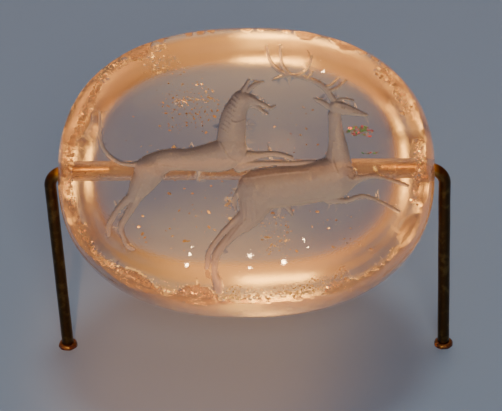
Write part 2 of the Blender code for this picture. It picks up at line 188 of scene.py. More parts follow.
class Nodes:
    """A thin hand on a node tree: adds nodes, fills their inputs and joins sockets."""

    def __init__(self, tree: NodeTree) -> None:
        """Takes the tree to build in."""
        self.tree = tree

    def add(self, kind: str, inputs: Inputs | None = None, **values: object) -> Node:
        """Adds a node.

        Args:
            kind: The node's Blender type.
            inputs: What goes into its inputs, as fill takes it.
            values: Properties of the node, such as operation.

        Returns:
            The new node.
        """
        made = self.tree.nodes.new(kind)
        for name, value in values.items():
            setattr(made, name, value)
        self.fill(made, inputs or {})
        return made

    def fill(self, node: Node, inputs: Inputs) -> None:
        """Fills some of a node's inputs.

        Args:
            node: The node.
            inputs: A socket, number, vector or (r, g, b) colour for each input, by name or place.
        """
        for name, value in inputs.items():
            socket = node.inputs[name]
            if isinstance(value, NodeSocket):
                self.join(value, socket)
            else:
                socket.default_value = (*value, 1) if socket.type == "RGBA" else value

    def join(self, source: NodeSocket, target: NodeSocket) -> None:
        """Links one socket to another."""
        self.tree.links.new(source, target)

    def read(self, name: str) -> NodeSocket:
        """One of the values that the mesh carries at its points."""
        return self.add("ShaderNodeAttribute", attribute_name=name).outputs["Fac"]

    def math(self, operation: str, *inputs: object, clamp: bool = False) -> NodeSocket:
        """The result of a Math node on sockets or plain numbers, held between 0 and 1 if clamped."""
        made = self.add("ShaderNodeMath", dict(enumerate(inputs)), operation=operation, use_clamp=clamp)
        return made.outputs[0]

    def mix_colour(self, share: object, first: object, second: object) -> NodeSocket:
        """Two colours mixed, as sockets or (r, g, b), with share saying how much of the second."""
        inputs = {MIX_SHARE: share, MIX_FIRST: first, MIX_SECOND: second}
        return self.add("ShaderNodeMix", inputs, data_type="RGBA").outputs[MIX_RESULT]

    def ramp(self, share: NodeSocket, low: object, high: object) -> NodeSocket:
        """Spreads a value from low..high to 0..1, clamped and eased."""
        inputs = dict(enumerate((share, low, high, 0.0, 1.0)))
        return self.add("ShaderNodeMapRange", inputs, interpolation_type="SMOOTHSTEP").outputs[0]


def start_tree(
    name: str, kind: str, inputs: dict[str, tuple[str, object]], output: tuple[str, str]
) -> tuple[Nodes, Items, Items]:
    """Begins a node group with named inputs and one output.

    Args:
        name: The group's name.
        kind: Shader or Geometry.
        inputs: Each input's kind and the value it starts with, or None.
        output: The output's name and kind.

    Returns:
        The hand on its nodes, the sockets that hold its inputs, and those that take its output.
    """
    tree = bpy.data.node_groups.new(name, f"{kind}NodeTree")
    for label, (socket, value) in inputs.items():
        made = tree.interface.new_socket(label, in_out="INPUT", socket_type=f"NodeSocket{socket}")
        if value is not None:
            made.default_value = value
    tree.interface.new_socket(output[0], in_out="OUTPUT", socket_type=f"NodeSocket{output[1]}")
    hand = Nodes(tree)
    return hand, hand.add("NodeGroupInput").outputs, hand.add("NodeGroupOutput").inputs


def speckle_group() -> NodeTree:
    """The shared patchiness of worn and dirty surfaces, built once.

    Returns:
        A shader group with the inputs Vector, Scale, Amount and Softness, and the output Mask.
    """
    found = bpy.data.node_groups.get("speckle")
    if found:
        return found
    inputs = {
        "Vector": ("Vector", None),
        "Scale": ("Float", 1000.0),
        "Amount": ("Float", 0.5),
        "Softness": ("Float", 0.15),
    }
    hand, given, result = start_tree("speckle", "Shader", inputs, ("Mask", "Float"))
    values = {"Detail": 5.0, "Vector": given["Vector"], "Scale": given["Scale"]}
    broad = hand.add("ShaderNodeTexNoise", values)
    edge = hand.math("SUBTRACT", 1.0, given["Amount"])
    low, high = (hand.math(way, edge, given["Softness"]) for way in ("SUBTRACT", "ADD"))
    hand.join(hand.ramp(broad.outputs["Fac"], low, high), result["Mask"])
    return hand.tree


def splinter_group() -> NodeTree:
    """The shared crushed grain of broken stone, built once.

    Returns:
        A shader group with the inputs Vector and Scale, and the output Height in metres.
    """
    found = bpy.data.node_groups.get("splinters")
    if found:
        return found
    inputs = {"Vector": ("Vector", None), "Scale": ("Float", 4000.0)}
    hand, given, result = start_tree("splinters", "Shader", inputs, ("Height", "Float"))
    values = {"Detail": 2.0, "Distortion": 0.6, "Vector": given["Vector"], "Scale": given["Scale"]}
    grain = hand.add("ShaderNodeTexNoise", values)
    hand.join(hand.math("MULTIPLY", grain.outputs["Fac"], 0.1 * MM), result["Height"])
    return hand.tree


def start_paint(name: str) -> tuple[Material, Nodes, Node]:
    """Begins a Principled material.

    Args:
        name: Its name.

    Returns:
        The material, the hand on its nodes and its shader.
    """
    made = bpy.data.materials.new(name)
    made.use_nodes = True
    return made, Nodes(made.node_tree), made.node_tree.nodes["Principled BSDF"]


@dataclass(frozen=True)
class Finish:
    """What every finish shares: a name and the slot of the record that it belongs to."""

    name: str
    slot: str

    def start(self) -> tuple[Material, Nodes, Node, NodeSocket]:
        """The new material, the hand on its nodes, its shader and the Object coordinates' socket."""
        made, hand, shader = start_paint(self.name)
        return made, hand, shader, hand.add("ShaderNodeTexCoord").outputs["Object"]

    def speckle(self, hand: Nodes, place: NodeSocket, *values: float) -> NodeSocket:
        """The shared patchiness at a place, with this material's own scale, amount and softness."""
        inputs = {"Vector": place, **dict(zip(("Scale", "Amount", "Softness"), values))}
        return hand.add("ShaderNodeGroup", inputs, node_tree=speckle_group()).outputs["Mask"]


@dataclass(frozen=True)
class CrystalFinish(Finish):
    """Rock crystal, as polished, ground or broken skin."""

    clear: Colour = (0.985, 0.975, 0.965)
    ground: Colour = (0.93, 0.87, 0.82)
    stained: Colour = (0.74, 0.52, 0.34)
    # The colours of the painted shade on upper groove walls and of the painted highlight on lower ones
    shaded: Colour = (0.3, 0.27, 0.29)
    lit: Colour = (1.0, 0.95, 0.88)
    ior: float = 1.544
    transmission: float = 1.0
    polished_roughness: float = 0.012
    ground_roughness: float = 0.34
    grit: float = 0.3
    splinters: float = 0.0
    splinter_scale: float = 4200.0
    shadow_tint: Colour = (0.42, 0.32, 0.27)
    # A warm absorption tint: painted warm light of the lamps, as the stone itself is colourless
    absorption_colour: Colour = (0.93, 0.8, 0.68)
    absorption_density: float = 14.0
    deepest_bounce: float = 3.5

    def material(self) -> Material:
        """Builds the material from the mesh's own values for frost, stain and crumbs, and for painted shade
        and highlight (shade, shine).

        Returns:
            The material, which is see-through by plain values.
        """
        made, hand, shader, place = self.start()
        frost, stain, crumbs, shade, shine = map(hand.read, ("frost", "stain", "crumbs", "shade", "shine"))
        patches = self.speckle(hand, place, 900.0, 0.55, 0.2)
        grit = self.speckle(hand, place, 6000.0, 0.5, 0.25)
        dullness = hand.math("MULTIPLY", frost, hand.math("MULTIPLY_ADD", patches, 0.35, 0.75), clamp=True)
        dirt = hand.math("MULTIPLY", stain, hand.math("MULTIPLY_ADD", grit, 0.5, 0.6), clamp=True)
        colour = hand.mix_colour(frost, self.clear, self.ground)
        # Painted shade on the upper walls of the grooves and a painted highlight on their lower walls
        for share, other in ((dirt, self.stained), (shade, self.shaded), (shine, self.lit)):
            colour = hand.mix_colour(share, colour, other)
        height = hand.math("MULTIPLY", hand.math("MULTIPLY", frost, grit), 0.03 * MM * self.grit)
        values = {"Vector": place, "Scale": self.splinter_scale}
        facets = hand.add("ShaderNodeGroup", values, node_tree=splinter_group())
        share = hand.math("MULTIPLY", crumbs, self.splinters)
        broken = hand.math("MULTIPLY", facets.outputs["Height"], share)
        bump = hand.add("ShaderNodeBump", {"Distance": 1.0, "Height": hand.math("ADD", height, broken)})
        values = {
            "Base Color": colour,
            "Roughness": hand.math("MULTIPLY_ADD", dullness, self.ground_roughness, self.polished_roughness),
            "Normal": bump.outputs["Normal"],
            "IOR": self.ior,
            "Transmission Weight": self.transmission,
        }
        hand.fill(shader, values)
        # The warm absorption paints the lamps' warm cast into the stone
        values = {"Color": self.absorption_colour, "Density": self.absorption_density}
        inside = hand.add("ShaderNodeVolumeAbsorption", values)
        surface = self.let_light_by(hand, shader)
        hand.fill(made.node_tree.nodes["Material Output"], {"Surface": surface, "Volume": inside.outputs[0]})
        return made

    def let_light_by(self, hand: Nodes, shader: Node) -> NodeSocket:
        """Lets lamps shine in, dimmed, and lets rays out that have been thrown about inside for long.

        Args:
            hand: The hand on the material's nodes.
            shader: Its own shader.

        Returns:
            The finished surface's socket.
        """
        path = hand.add("ShaderNodeLightPath").outputs
        out = hand.add("ShaderNodeBsdfTransparent").outputs[0]
        long_inside = hand.math("GREATER_THAN", path["Glossy Depth"], self.deepest_bounce)
        inner = hand.add("ShaderNodeMixShader", {0: long_inside, 1: shader.outputs[0], 2: out}).outputs[0]
        dimmed = hand.add("ShaderNodeBsdfTransparent", {"Color": self.shadow_tint}).outputs[0]
        return hand.add("ShaderNodeMixShader", {0: path["Is Shadow Ray"], 1: inner, 2: dimmed}).outputs[0]


@dataclass(frozen=True)
class BrassFinish(Finish):
    """Old brass wire: dark and tarnished outside; golden under the crystal, partly untarnished brass and
    partly painted light.
    """

    golden: Colour = (0.98, 0.7, 0.22)
    tarnish: Colour = (0.05, 0.024, 0.01)
    tarnish_from: float = 14.7 * MM
    tarnish_full: float = 16.0 * MM

    def material(self) -> Material:
        """Builds the material, with tarnish that thins towards the covered end, where the brighter gold is
        partly painted light.

        Returns:
            The material.
        """
        made, hand, shader, place = self.start()
        split = hand.add("ShaderNodeSeparateXYZ", {0: place})
        # Gold under the crystal is partly untarnished brass and partly painted light that the crystal gathers
        # onto it
        outside_crystal = hand.ramp(hand.math("ABSOLUTE", split.outputs["X"]), self.tarnish_from, self.tarnish_full)
        patches = self.speckle(hand, place, 1400.0, 0.6, 0.12)
        fine = self.speckle(hand, place, 7000.0, 0.5, 0.2)
        dark = hand.math("MULTIPLY", outside_crystal, hand.math("MULTIPLY_ADD", patches, 0.07, 0.91), clamp=True)
        relief = {"Strength": 0.25, "Distance": 0.02 * MM, "Height": hand.math("ADD", fine, patches)}
        values = {
            "Base Color": hand.mix_colour(dark, self.golden, self.tarnish),
            "Roughness": hand.math("MULTIPLY_ADD", dark, 0.12, 0.2),
            "Normal": hand.add("ShaderNodeBump", relief).outputs["Normal"],
            "Metallic": 1.0,
        }
        hand.fill(shader, values)
        return made


@dataclass(frozen=True)
class ResinFinish(Finish):
    """Amber-brown resin at a pin's foot: glossy, with darker and lighter patches."""

    bright: Colour = (0.7, 0.2, 0.02)
    deep: Colour = (0.05, 0.012, 0.004)

    def material(self) -> Material:
        """Builds the material.

        Returns:
            The material.
        """
        made, hand, shader, place = self.start()
        patches = self.speckle(hand, place, 1100.0, 0.62, 0.1)
        values = {
            "Base Color": hand.mix_colour(patches, self.bright, self.deep),
            "Roughness": hand.math("MULTIPLY_ADD", patches, 0.25, 0.12),
            "Subsurface Weight": 0.3,
            "Subsurface Scale": 0.4 * MM,
            "Coat Weight": 0.4,
        }
        hand.fill(shader, values)
        return made


@dataclass(frozen=True)
class FleckFinish(Finish):
    """Flakes inside the stone: healed cracks that glint, or rusty specks."""

    pale: Colour = (1.0, 0.8, 0.58)
    rusty: Colour = (0.62, 0.3, 0.1)
    metal: float = 1.0
    roughness: float = 0.2
    patch_scale: float = 700.0

    def material(self) -> Material:
        """Builds the material.

        Returns:
            The material.
        """
        made, hand, shader, place = self.start()
        patches = self.speckle(hand, place, self.patch_scale, 0.5, 0.1)
        values = {
            "Base Color": hand.mix_colour(patches, self.pale, self.rusty),
            "Roughness": hand.math("MULTIPLY_ADD", patches, 0.3, self.roughness),
            "Metallic": self.metal,
        }
        hand.fill(shader, values)
        return made


# The stone and its engraving


@dataclass(frozen=True)
class SealForm:
    """The stone's sizes, in its own frame: x along the bore, y up the face, z out of the face."""

    half_length: float
    bore_height: float
    half_width: float = 11.95 * MM
    girdle_depth: float = 3.7 * MM
    dome_depth: float = 10.0 * MM
    dome_shift: float = 1.2 * MM
    face_inset: float = 0.75 * MM
    girdle_power: float = 2.31
    face_power: float = 2.42
    tilt: float = math.radians(46)
    bore_radius: float = 0.825 * MM
    bore_ahead_of_girdle: float = 0.25 * MM

    @property
    def bore_depth(self) -> float:
        """How far the bore's axis lies behind the face."""
        return self.girdle_depth - self.bore_ahead_of_girdle

    @property
    def dome_way(self) -> np.ndarray:
        """The way from the girdle's middle to the dome's highest point."""
        return np.array([0, self.dome_shift, -self.dome_depth])

    @property
    def place(self) -> Matrix:
        """Where the seal's frame, with its origin in the middle of the face, stands in the world."""
        middle = Matrix.Translation((0, 0, self.bore_height)) @ Matrix.Rotation(self.tilt, 4, "X")
        return middle @ Matrix.Translation((0, 0, self.bore_depth))

    def oval(self, turns: np.ndarray, inset: np.ndarray | float, power: float) -> np.ndarray:
        """Points of the blunt oval that the stone's outline follows.

        Args:
            turns: Angles round it, in radians.
            inset: How far inside the girdle's outline.
            power: How blunt it is.

        Returns:
            One (x, y) row for each angle.
        """
        along, across = np.cos(turns), np.sin(turns)
        x = np.sign(along) * np.abs(along) ** (2 / power) * (self.half_length - inset)
        y = np.sign(across) * np.abs(across) ** (2 / power) * (self.half_width - inset)
        return np.stack([x, y], -1)

    def side(self, turns: np.ndarray, share: float) -> np.ndarray:
        """Points of the side, with share from 0 at the face's edge to 1 at the girdle."""
        bulge = 1 - (1 - share) ** 2
        inset = self.face_inset * (1 - bulge)
        flat = self.oval(turns, inset, self.face_power) * (1 - bulge)
        flat += self.oval(turns, inset, self.girdle_power) * bulge
        return np.column_stack([flat, np.full(len(turns), -self.girdle_depth * share)])

    def reach(self, places: np.ndarray, margin: float = 0.0) -> np.ndarray:
        """How far out places lie: 1 on the line a margin inside the face's edge, less within it."""
        inset = self.face_inset + margin
        along = np.abs(places[:, 0] / (self.half_length - inset)) ** self.face_power
        return along + np.abs(places[:, 1] / (self.half_width - inset)) ** self.face_power

    def inside_face(self, places: np.ndarray, margin: float) -> np.ndarray:
        """Which places lie on the face, at least a margin inside its edge."""
        return self.reach(places, margin) < 1


@dataclass
class Engraving:
    """The hunting scene cut into the face, as smooth grooves that melt into each other."""

    form: SealForm
    grid_half_length: float = 14.75
    grid_half_width: float = 11.2
    depth_share: float = 0.55
    scratch_depth: float = 0.06 * MM
    wall_power: float = 0.62
    melt: float = 7.0
    steps: int = 12
    hatch_places: tuple[tuple[float, float], ...] = (
        (-0.1, -3.0),
        (0.24, -2.85),
        (0.6, -2.85),
        (0.95, -2.95),
    )
    hatch_run: tuple[float, float] = (0.06, -1.75)
    ruff_count: int = 9
    mottle: float = 0.1
    mottle_size: float = 0.55 * MM
    mark_share: float = 0.45
    margin: float = 0.5 * MM
    grooves: list[np.ndarray] = field(default_factory=list)
    marks: list[np.ndarray] = field(default_factory=list)

    def __post_init__(self) -> None:
        """Draws every groove and every tool mark through its points."""
        for figure in (HOUND, STAG):
            for stroke in figure.values():
                self.grooves.append(self.smooth(self.on_face(stroke)))
        for stroke in (*TOOLING.values(), *self.hatching(), *self.ruff()):
            self.marks.append(self.smooth(self.on_face(stroke)))

    def hatching(self) -> list[Stroke]:
        """The short strokes side by side down the stag's haunch."""
        along, down = self.hatch_run
        return [
            [(x, y, 0.08), (x + along, y + 0.5 * down, 0.11), (x + along, y + down, 0.06)]
            for x, y in self.hatch_places
        ]

    def ruff(self) -> list[Stroke]:
        """The short slanting strokes of hair down the back of the hound's neck."""
        rows = []
        for k in range(self.ruff_count):
            share = k / (self.ruff_count - 1)
            x, y = -0.45 - 0.95 * share, 5.45 - 2.7 * share
            rows.append([(x, y, 0.09), (x - 0.22, y + 0.2, 0.08), (x - 0.4, y + 0.3, 0.06)])
        return rows

    def on_face(self, stroke: Stroke) -> np.ndarray:
        """Turns grid divisions into metres on the face."""
        long = (self.form.half_length - self.form.face_inset) / self.grid_half_length
        wide = (self.form.half_width - self.form.face_inset) / self.grid_half_width
        return np.array(stroke) * (long, wide, wide)

    def smooth(self, points: np.ndarray) -> np.ndarray:
        """A Catmull-Rom curve through (x, y, half width) points."""
        padded = np.vstack([points[:1], points, points[-1:]])
        t = np.linspace(0, 1, self.steps, endpoint=False)[:, None]
        rows = []
        for before, start, end, after in zip(padded, padded[1:], padded[2:], padded[3:]):
            bend = (2 * before - 5 * start + 4 * end - after) * t**2
            twist = (3 * start - before - 3 * end + after) * t**3
            rows.append(0.5 * (2 * start + (end - before) * t + bend + twist))
        return np.vstack([*rows, points[-1:]])

    def measure(self, places: np.ndarray) -> tuple[np.ndarray, np.ndarray]:
        """Measures the engraving at places on the face.

        Args:
            places: One (x, y) row for each place, in metres.

        Returns:
            How deep it is there, and how far the place is outside the nearest groove.
        """
        total = np.zeros(len(places))
        marked = np.zeros(len(places))
        nearest = np.full(len(places), 1.0)
        for number, groove in enumerate(self.grooves + self.marks):
            reach = groove[:, 2].max() + self.margin
            low, high = groove[:, :2].min(0) - reach, groove[:, :2].max(0) + reach
            near = np.flatnonzero(((places > low) & (places < high)).all(1))
            if not len(near):
                continue
            depth = np.zeros(len(near))
            outside = np.full(len(near), 1.0)
            for start, end in zip(groove, groove[1:]):
                run = end - start
                away = places[near] - start[:2]
                share = np.clip(away @ run[:2] / max(run[:2] @ run[:2], 1e-14), 0, 1)
                half = start[2] + run[2] * share
                off = np.linalg.norm(away - share[:, None] * run[:2], axis=1)
                wall = np.clip(1 - (off / half) ** 2, 0, 1) ** self.wall_power
                depth = np.maximum(depth, (self.depth_share * half + self.scratch_depth) * wall)
                outside = np.minimum(outside, off - half)
            if number < len(self.grooves):
                total[near] += depth**self.melt
            else:
                marked[near] = np.maximum(marked[near], self.mark_share * depth)
            nearest[near] = np.minimum(nearest[near], outside)
        return total ** (1 / self.melt) + marked, nearest

    def contours(self, gap: float) -> np.ndarray:
        """Places along both edges and just inside both edges of every groove, a gap apart."""
        rows = []
        for groove in self.grooves + self.marks:
            run = np.gradient(groove[:, :2], axis=0)
            side = np.stack([-run[:, 1], run[:, 0]], 1) / np.linalg.norm(run, axis=1)[:, None]
            far = np.concatenate([[0], np.cumsum(np.linalg.norm(np.diff(groove[:, :2], axis=0), axis=1))])
            wanted = np.linspace(0, far[-1], max(int(far[-1] / gap), 2))
            for share in (-1.0, -0.93, 0.93, 1.0):
                line = groove[:, :2] + side * groove[:, 2:] * share
                rows.append(np.stack([np.interp(wanted, far, line[:, k]) for k in (0, 1)], 1))
        return np.vstack(rows)


@dataclass
class BrokenEdge:
    """The chips and nicks along the face's edge: balls outside the stone that bite into it."""

    form: SealForm
    nick_count: int = 130
    nick_seed: int = 7
    nick_sizes: tuple[float, float] = (0.03, 0.12)
    nick_bite: float = 0.35
    nick_leans: tuple[float, float] = (0.3, 0.7)
    crumb: float = 0.05 * MM
    crumbs_per_mm: float = 3.4
    patch_size: float = 1.1 * MM
    least_wear: float = 0.1
    edge_band: float = 0.5 * MM
    centres: np.ndarray = field(init=False)
    radii: np.ndarray = field(init=False)

    def __post_init__(self) -> None:
        """Places every ball."""
        sizes = [(math.radians(turn), *rest) for turn, *rest in CHIPS.values()]
        pick = random.Random(self.nick_seed)
        for _ in range(self.nick_count):
            size = pick.uniform(*self.nick_sizes)
            turn = pick.uniform(0, math.tau)
            sizes.append((turn, size, self.nick_bite * size, pick.uniform(*self.nick_leans)))
        turns, size, bite, lean = np.array(sizes).T
        edge = self.form.side(turns, 0)
        ahead = self.form.side(turns + 0.01, 0) - self.form.side(turns - 0.01, 0)
        out = np.stack([ahead[:, 1], -ahead[:, 0], np.zeros(len(turns))], 1)
        out /= np.linalg.norm(out, axis=1)[:, None]
        way = out * (1 - lean)[:, None] + np.array([0, 0, 1]) * lean[:, None]
        way /= np.linalg.norm(way, axis=1)[:, None]
        depth = self.form.girdle_depth
        self.radii = size * depth
        self.centres = edge + way * (self.radii - bite * depth)[:, None]

    def apply(self, points: np.ndarray, below: float = 0.0) -> tuple[np.ndarray, np.ndarray]:
        """Pushes points out of every ball that bites them.

        Args:
            points: One (x, y, z) row for each point, in the seal's frame.
            below: How far under the broken ground they are kept.

        Returns:
            The moved points, and how broken each one is, from 0 to 1.
        """
        moved = points.copy()
        broken = np.zeros(len(points))
        for centre, radius in zip(self.centres, self.radii):
            away = moved - centre
            far = np.linalg.norm(away, axis=1)
            kept_off = radius + below
            hit = np.flatnonzero(far < kept_off)
            moved[hit] = centre + away[hit] / far[hit, None] * kept_off
            broken[hit] = 1.0
        return moved, broken

    def wear(self, points: np.ndarray) -> np.ndarray:
        """How crumbled the edge is near each point, from 0 to 1.

        Args:
            points: One (x, y, z) row for each point, in the seal's frame.

        Returns:
            Nothing away from the edge, and the wear of its stretch on it.
        """
        form = self.form
        turn = np.degrees(np.arctan2(points[:, 1] / form.half_width, points[:, 0] / form.half_length))
        worn = np.full(len(points), self.least_wear)
        for middle, half, amount in WORN_STRETCHES.values():
            off = np.abs((turn - middle + 180) % 360 - 180) / half
            worn = np.maximum(worn, amount * np.clip(1.3 - off, 0, 1))
        off = np.abs(form.reach(points) ** (1 / form.face_power) - 1) * form.half_width
        close = np.hypot(off, points[:, 2])
        patchy = np.ones(len(points))
        for k in np.flatnonzero(close < 3 * self.edge_band):
            patchy[k] = 0.75 + 1.1 * noise.fractal(Vector(points[k]) / self.patch_size, 0.8, 2.2, 3)
        worn = worn * np.clip(patchy, 0.0, 1.5)
        band = self.edge_band * (0.5 + 1.7 * worn)
        return np.clip(worn, 0, 1) * np.clip(1 - close / band, 0, 1)

    def crumble(self, points: np.ndarray, broken: np.ndarray) -> np.ndarray:
        """Roughens the broken ground and the very edge with small facets.

        Args:
            points: One row for each point, in the seal's frame.
            broken: How broken each is.

        Returns:
            The moved points.
        """
        wear = self.wear(points)
        moved = points.copy()
        for k in np.flatnonzero((broken > 0) | (wear > 0.02)):
            place = Vector(points[k]) / MM
            facets = noise.voronoi(place * self.crumbs_per_mm)[0][0]
            push = self.crumb * facets * (0.3 * broken[k] + 2.0 * wear[k])
            inward = Vector((-0.18 * points[k][0], -0.18 * points[k][1], -2.0 * MM)).normalized()
            moved[k] += np.array(inward) * push
        return moved


def add_object(name: str, data: ID, finish: Material | None = None) -> Object:
    """Puts a mesh, curve, light or camera in the scene as an object at the origin.

    Args:
        name: The object's name.
        data: What it shows, with its place in it if it is a mesh.
        finish: The material of a mesh.

    Returns:
        The object.
    """
    made = bpy.data.objects.new(name, data)
    bpy.context.scene.collection.objects.link(made)
    if finish:
        data.materials.clear()
        data.materials.append(finish)
    return made


def closed_mesh(name: str, made: bmesh.types.BMesh) -> Mesh:
    """The plain mesh of a closed form, with its faces outward; the working copy is freed."""
    bmesh.ops.recalc_face_normals(made, faces=made.faces)
    mesh = bpy.data.meshes.new(name)
    made.to_mesh(mesh)
    made.free()
    return mesh


def read_all(items: Items, name: str, width: int = 1, kind: type = float) -> np.ndarray:
    """One property of all of a mesh's items, with width numbers for each."""
    values = np.empty(len(items) * width, kind)
    items.foreach_get(name, values)
    return values


def evaluated_mesh(source: Object) -> Mesh:
    """The plain mesh that an object's modifiers make of it."""
    graph = bpy.context.evaluated_depsgraph_get()
    return bpy.data.meshes.new_from_object(source.evaluated_get(graph))


@dataclass
class Crystal:
    """The engraved stone: one fine skin with its bore cut through it."""

    form: SealForm
    engraving: Engraving
    edge: BrokenEdge
    finishes: dict[Skin, CrystalFinish]
    ring_steps: int = 600
    side_shares: tuple[float, ...] = (0.03, 0.065, 0.105, 0.155, 0.215, 0.3, 0.4, 0.52, 0.66, 0.82, 1)
    rim_insets: tuple[float, ...] = (0.12, 0.26, 0.42, 0.62, 0.88, 1.2)
    dome_rings: int = 40
    carved_gap: float = 0.095 * MM
    carved_reach: float = 0.08 * MM
    contour_gap: float = 0.11 * MM
    contour_cell: float = 0.05 * MM
    contour_room: float = 0.035 * MM
    rim_room: float = 0.06 * MM
    plain_gap: float = 0.75 * MM
    broken_gap: float = 0.2 * MM
    bore_sides: int = 48
    bore_rings: int = 110
    wander: float = 0.02 * MM
    slope_step: float = 0.03 * MM
    full_shade: float = 0.9
    mouth_from: float = 0.72
    back_wear: float = 0.3
    flat_within: float = 0.0002 * MM
    crease: float = math.radians(38)
    full_ground: float = 0.05 * MM
    break_skin: float = 0.06 * MM
    least_slope: float = 0.12
    least_crumbs: float = 0.25
    least_ground: float = 0.5

    def lattice(self, gap: float) -> np.ndarray:
        """A triangular lattice of places over the face."""
        row_gap = gap * math.sqrt(0.75)
        rows = int(self.form.half_width / row_gap) + 1
        columns = int(self.form.half_length / gap) + 1
        row, column = np.mgrid[-rows : rows + 1, -columns : columns + 1]
        return np.stack([(column + 0.5 * (row % 2)).ravel() * gap, row.ravel() * row_gap], 1)

    def thinned(self, places: np.ndarray, cell: float) -> np.ndarray:
        """Keeps the first place in each square cell."""
        _, first = np.unique(np.round(places / cell).astype(int), axis=0, return_index=True)
        return places[np.sort(first)]

    def clear_of(self, places: np.ndarray, others: np.ndarray, gap: float) -> np.ndarray:
        """Keeps the places that are further than a gap from all of the others."""
        taken = {tuple(cell) for cell in np.round(others / gap).astype(int)}
        cells = np.round(places / gap).astype(int)
        steps = [(a, b) for a in (-1, 0, 1) for b in (-1, 0, 1)]
        keep = [not any((x + a, y + b) in taken for a, b in steps) for x, y in cells]
        return places[np.array(keep, bool)]

    def face_places(self, turns: np.ndarray) -> np.ndarray:
        """Every place on the face that becomes a point: its edge first, then the rest."""
        edge = self.form.side(turns, 0)[:, :2]
        step = turns[1] - turns[0]
        rim = []
        for k, inset in enumerate(self.rim_insets):
            shifted = turns + 0.5 * step * (k % 2 + 1)
            rim.append(self.form.oval(shifted, self.form.face_inset + inset * MM, self.form.face_power))
        contour = self.thinned(self.engraving.contours(self.contour_gap), self.contour_cell)
        contour = contour[self.form.inside_face(contour, 0.2 * MM)]
        rim = self.clear_of(np.vstack(rim), contour, self.rim_room)
        fine = self.lattice(self.carved_gap)
        fine = fine[self.form.inside_face(fine, 0.3 * MM)]
        fine = fine[self.engraving.measure(fine)[1] < self.carved_reach]
        fine = self.clear_of(fine, contour, self.contour_room)
        broken = self.lattice(self.broken_gap)
        broken = broken[self.form.inside_face(broken, (self.rim_insets[-1] + 0.15) * MM)]
        _, hit = self.edge.apply(np.column_stack([broken, np.zeros(len(broken))]))
        broken = broken[hit > 0]
        plain = self.lattice(self.plain_gap)
        plain = plain[self.form.inside_face(plain, (self.rim_insets[-1] + 0.3) * MM)]
        made = np.vstack([contour, fine])
        for more, gap in ((rim, self.rim_room), (broken, 0.1 * MM), (plain, 0.2 * MM)):
            made = np.vstack([made, self.clear_of(more, made, gap)])
        return np.vstack([edge, made])

    def skin(self) -> Mesh:
        """Builds the stone's skin without its bore, in the seal's frame."""
        turns = np.linspace(0, math.tau, self.ring_steps, endpoint=False)
        places = self.face_places(turns)
        loop = [(k, (k + 1) % self.ring_steps) for k in range(self.ring_steps)]
        in_mm = [Vector(place) for place in places / MM]
        flat, _, triangles, _, _, _ = delaunay_2d_cdt(in_mm, loop, [], 1, 1e-5)
        flat = np.array([tuple(place) for place in flat]) * MM
        depth, _ = self.engraving.measure(flat)
        # The outline's own points come back in any order, so each is found by its place
        edge = self.form.side(turns, 0)[:, :2]
        ring = [int(np.argmin(np.abs(flat - place).sum(1))) for place in edge]
        depth[ring] = 0
        for k in np.flatnonzero(depth > 0):
            patch = noise.noise(Vector((*flat[k], 0)) / self.engraving.mottle_size)
            depth[k] *= 1 + self.engraving.mottle * patch
        points = [np.column_stack([flat, -depth])]
        shapes = [self.form.side(turns, share) for share in self.side_shares]
        for step in range(1, self.dome_rings):
            rise = 0.5 * math.pi * step / self.dome_rings
            shape = shapes[len(self.side_shares) - 1] * (math.cos(rise), math.cos(rise), 1)
            shapes.append(shape + self.form.dome_way * math.sin(rise))
        points.extend(shapes)
        points.append(np.array([(0, 0, -self.form.girdle_depth) + self.form.dome_way]))
        points = np.vstack(points)
        points, broken = self.edge.apply(points)
        points = self.edge.crumble(points, broken)
        faces = [tuple(corners) for corners in triangles]
        above = ring
        start = len(flat)
        for _ in shapes:
            below = list(range(start, start + self.ring_steps))
            for k in range(self.ring_steps):
                after = (k + 1) % self.ring_steps
                faces.append((above[k], below[k], below[after], above[after]))
            above = below
            start += self.ring_steps
        faces.extend((above[k], start, above[(k + 1) % self.ring_steps]) for k in range(self.ring_steps))
        mesh = bpy.data.meshes.new("crystal skin")
        mesh.from_pydata(points.tolist(), [], faces)
        mesh.update()
        made = bmesh.new()
        made.from_mesh(mesh)
        bmesh.ops.recalc_face_normals(made, faces=made.faces)
        bmesh.ops.triangulate(made, faces=[face for face in made.faces if len(face.verts) > 3])
        made.to_mesh(mesh)
        made.free()
        return mesh

    def drill(self) -> Object:
        """The slightly uneven hole that the bore leaves, as a closed cutter."""
        made = bmesh.new()
        reach = self.form.half_length + 1.0 * MM
        rings = []
        for step in range(self.bore_rings + 1):
            x = -reach + 2 * reach * step / self.bore_rings
            ring = []
            for k in range(self.bore_sides):
                turn = math.tau * k / self.bore_sides
                swirl = Vector((x / MM * 0.8, math.cos(turn) * 2, math.sin(turn) * 2))
                radius = self.form.bore_radius + self.wander * noise.noise(swirl)
                ring.append(made.verts.new((x, radius * math.cos(turn), radius * math.sin(turn))))
            rings.append(ring)
        for first, second in zip(rings, rings[1:]):
            for k in range(self.bore_sides):
                after = (k + 1) % self.bore_sides
                made.faces.new((first[k], first[after], second[after], second[k]))
        made.faces.new(rings[0])
        made.faces.new(rings[-1])
        mesh = closed_mesh("bore", made)
        mesh.transform(Matrix.Translation((0, 0, -self.form.bore_depth)))
        return add_object("bore", mesh)

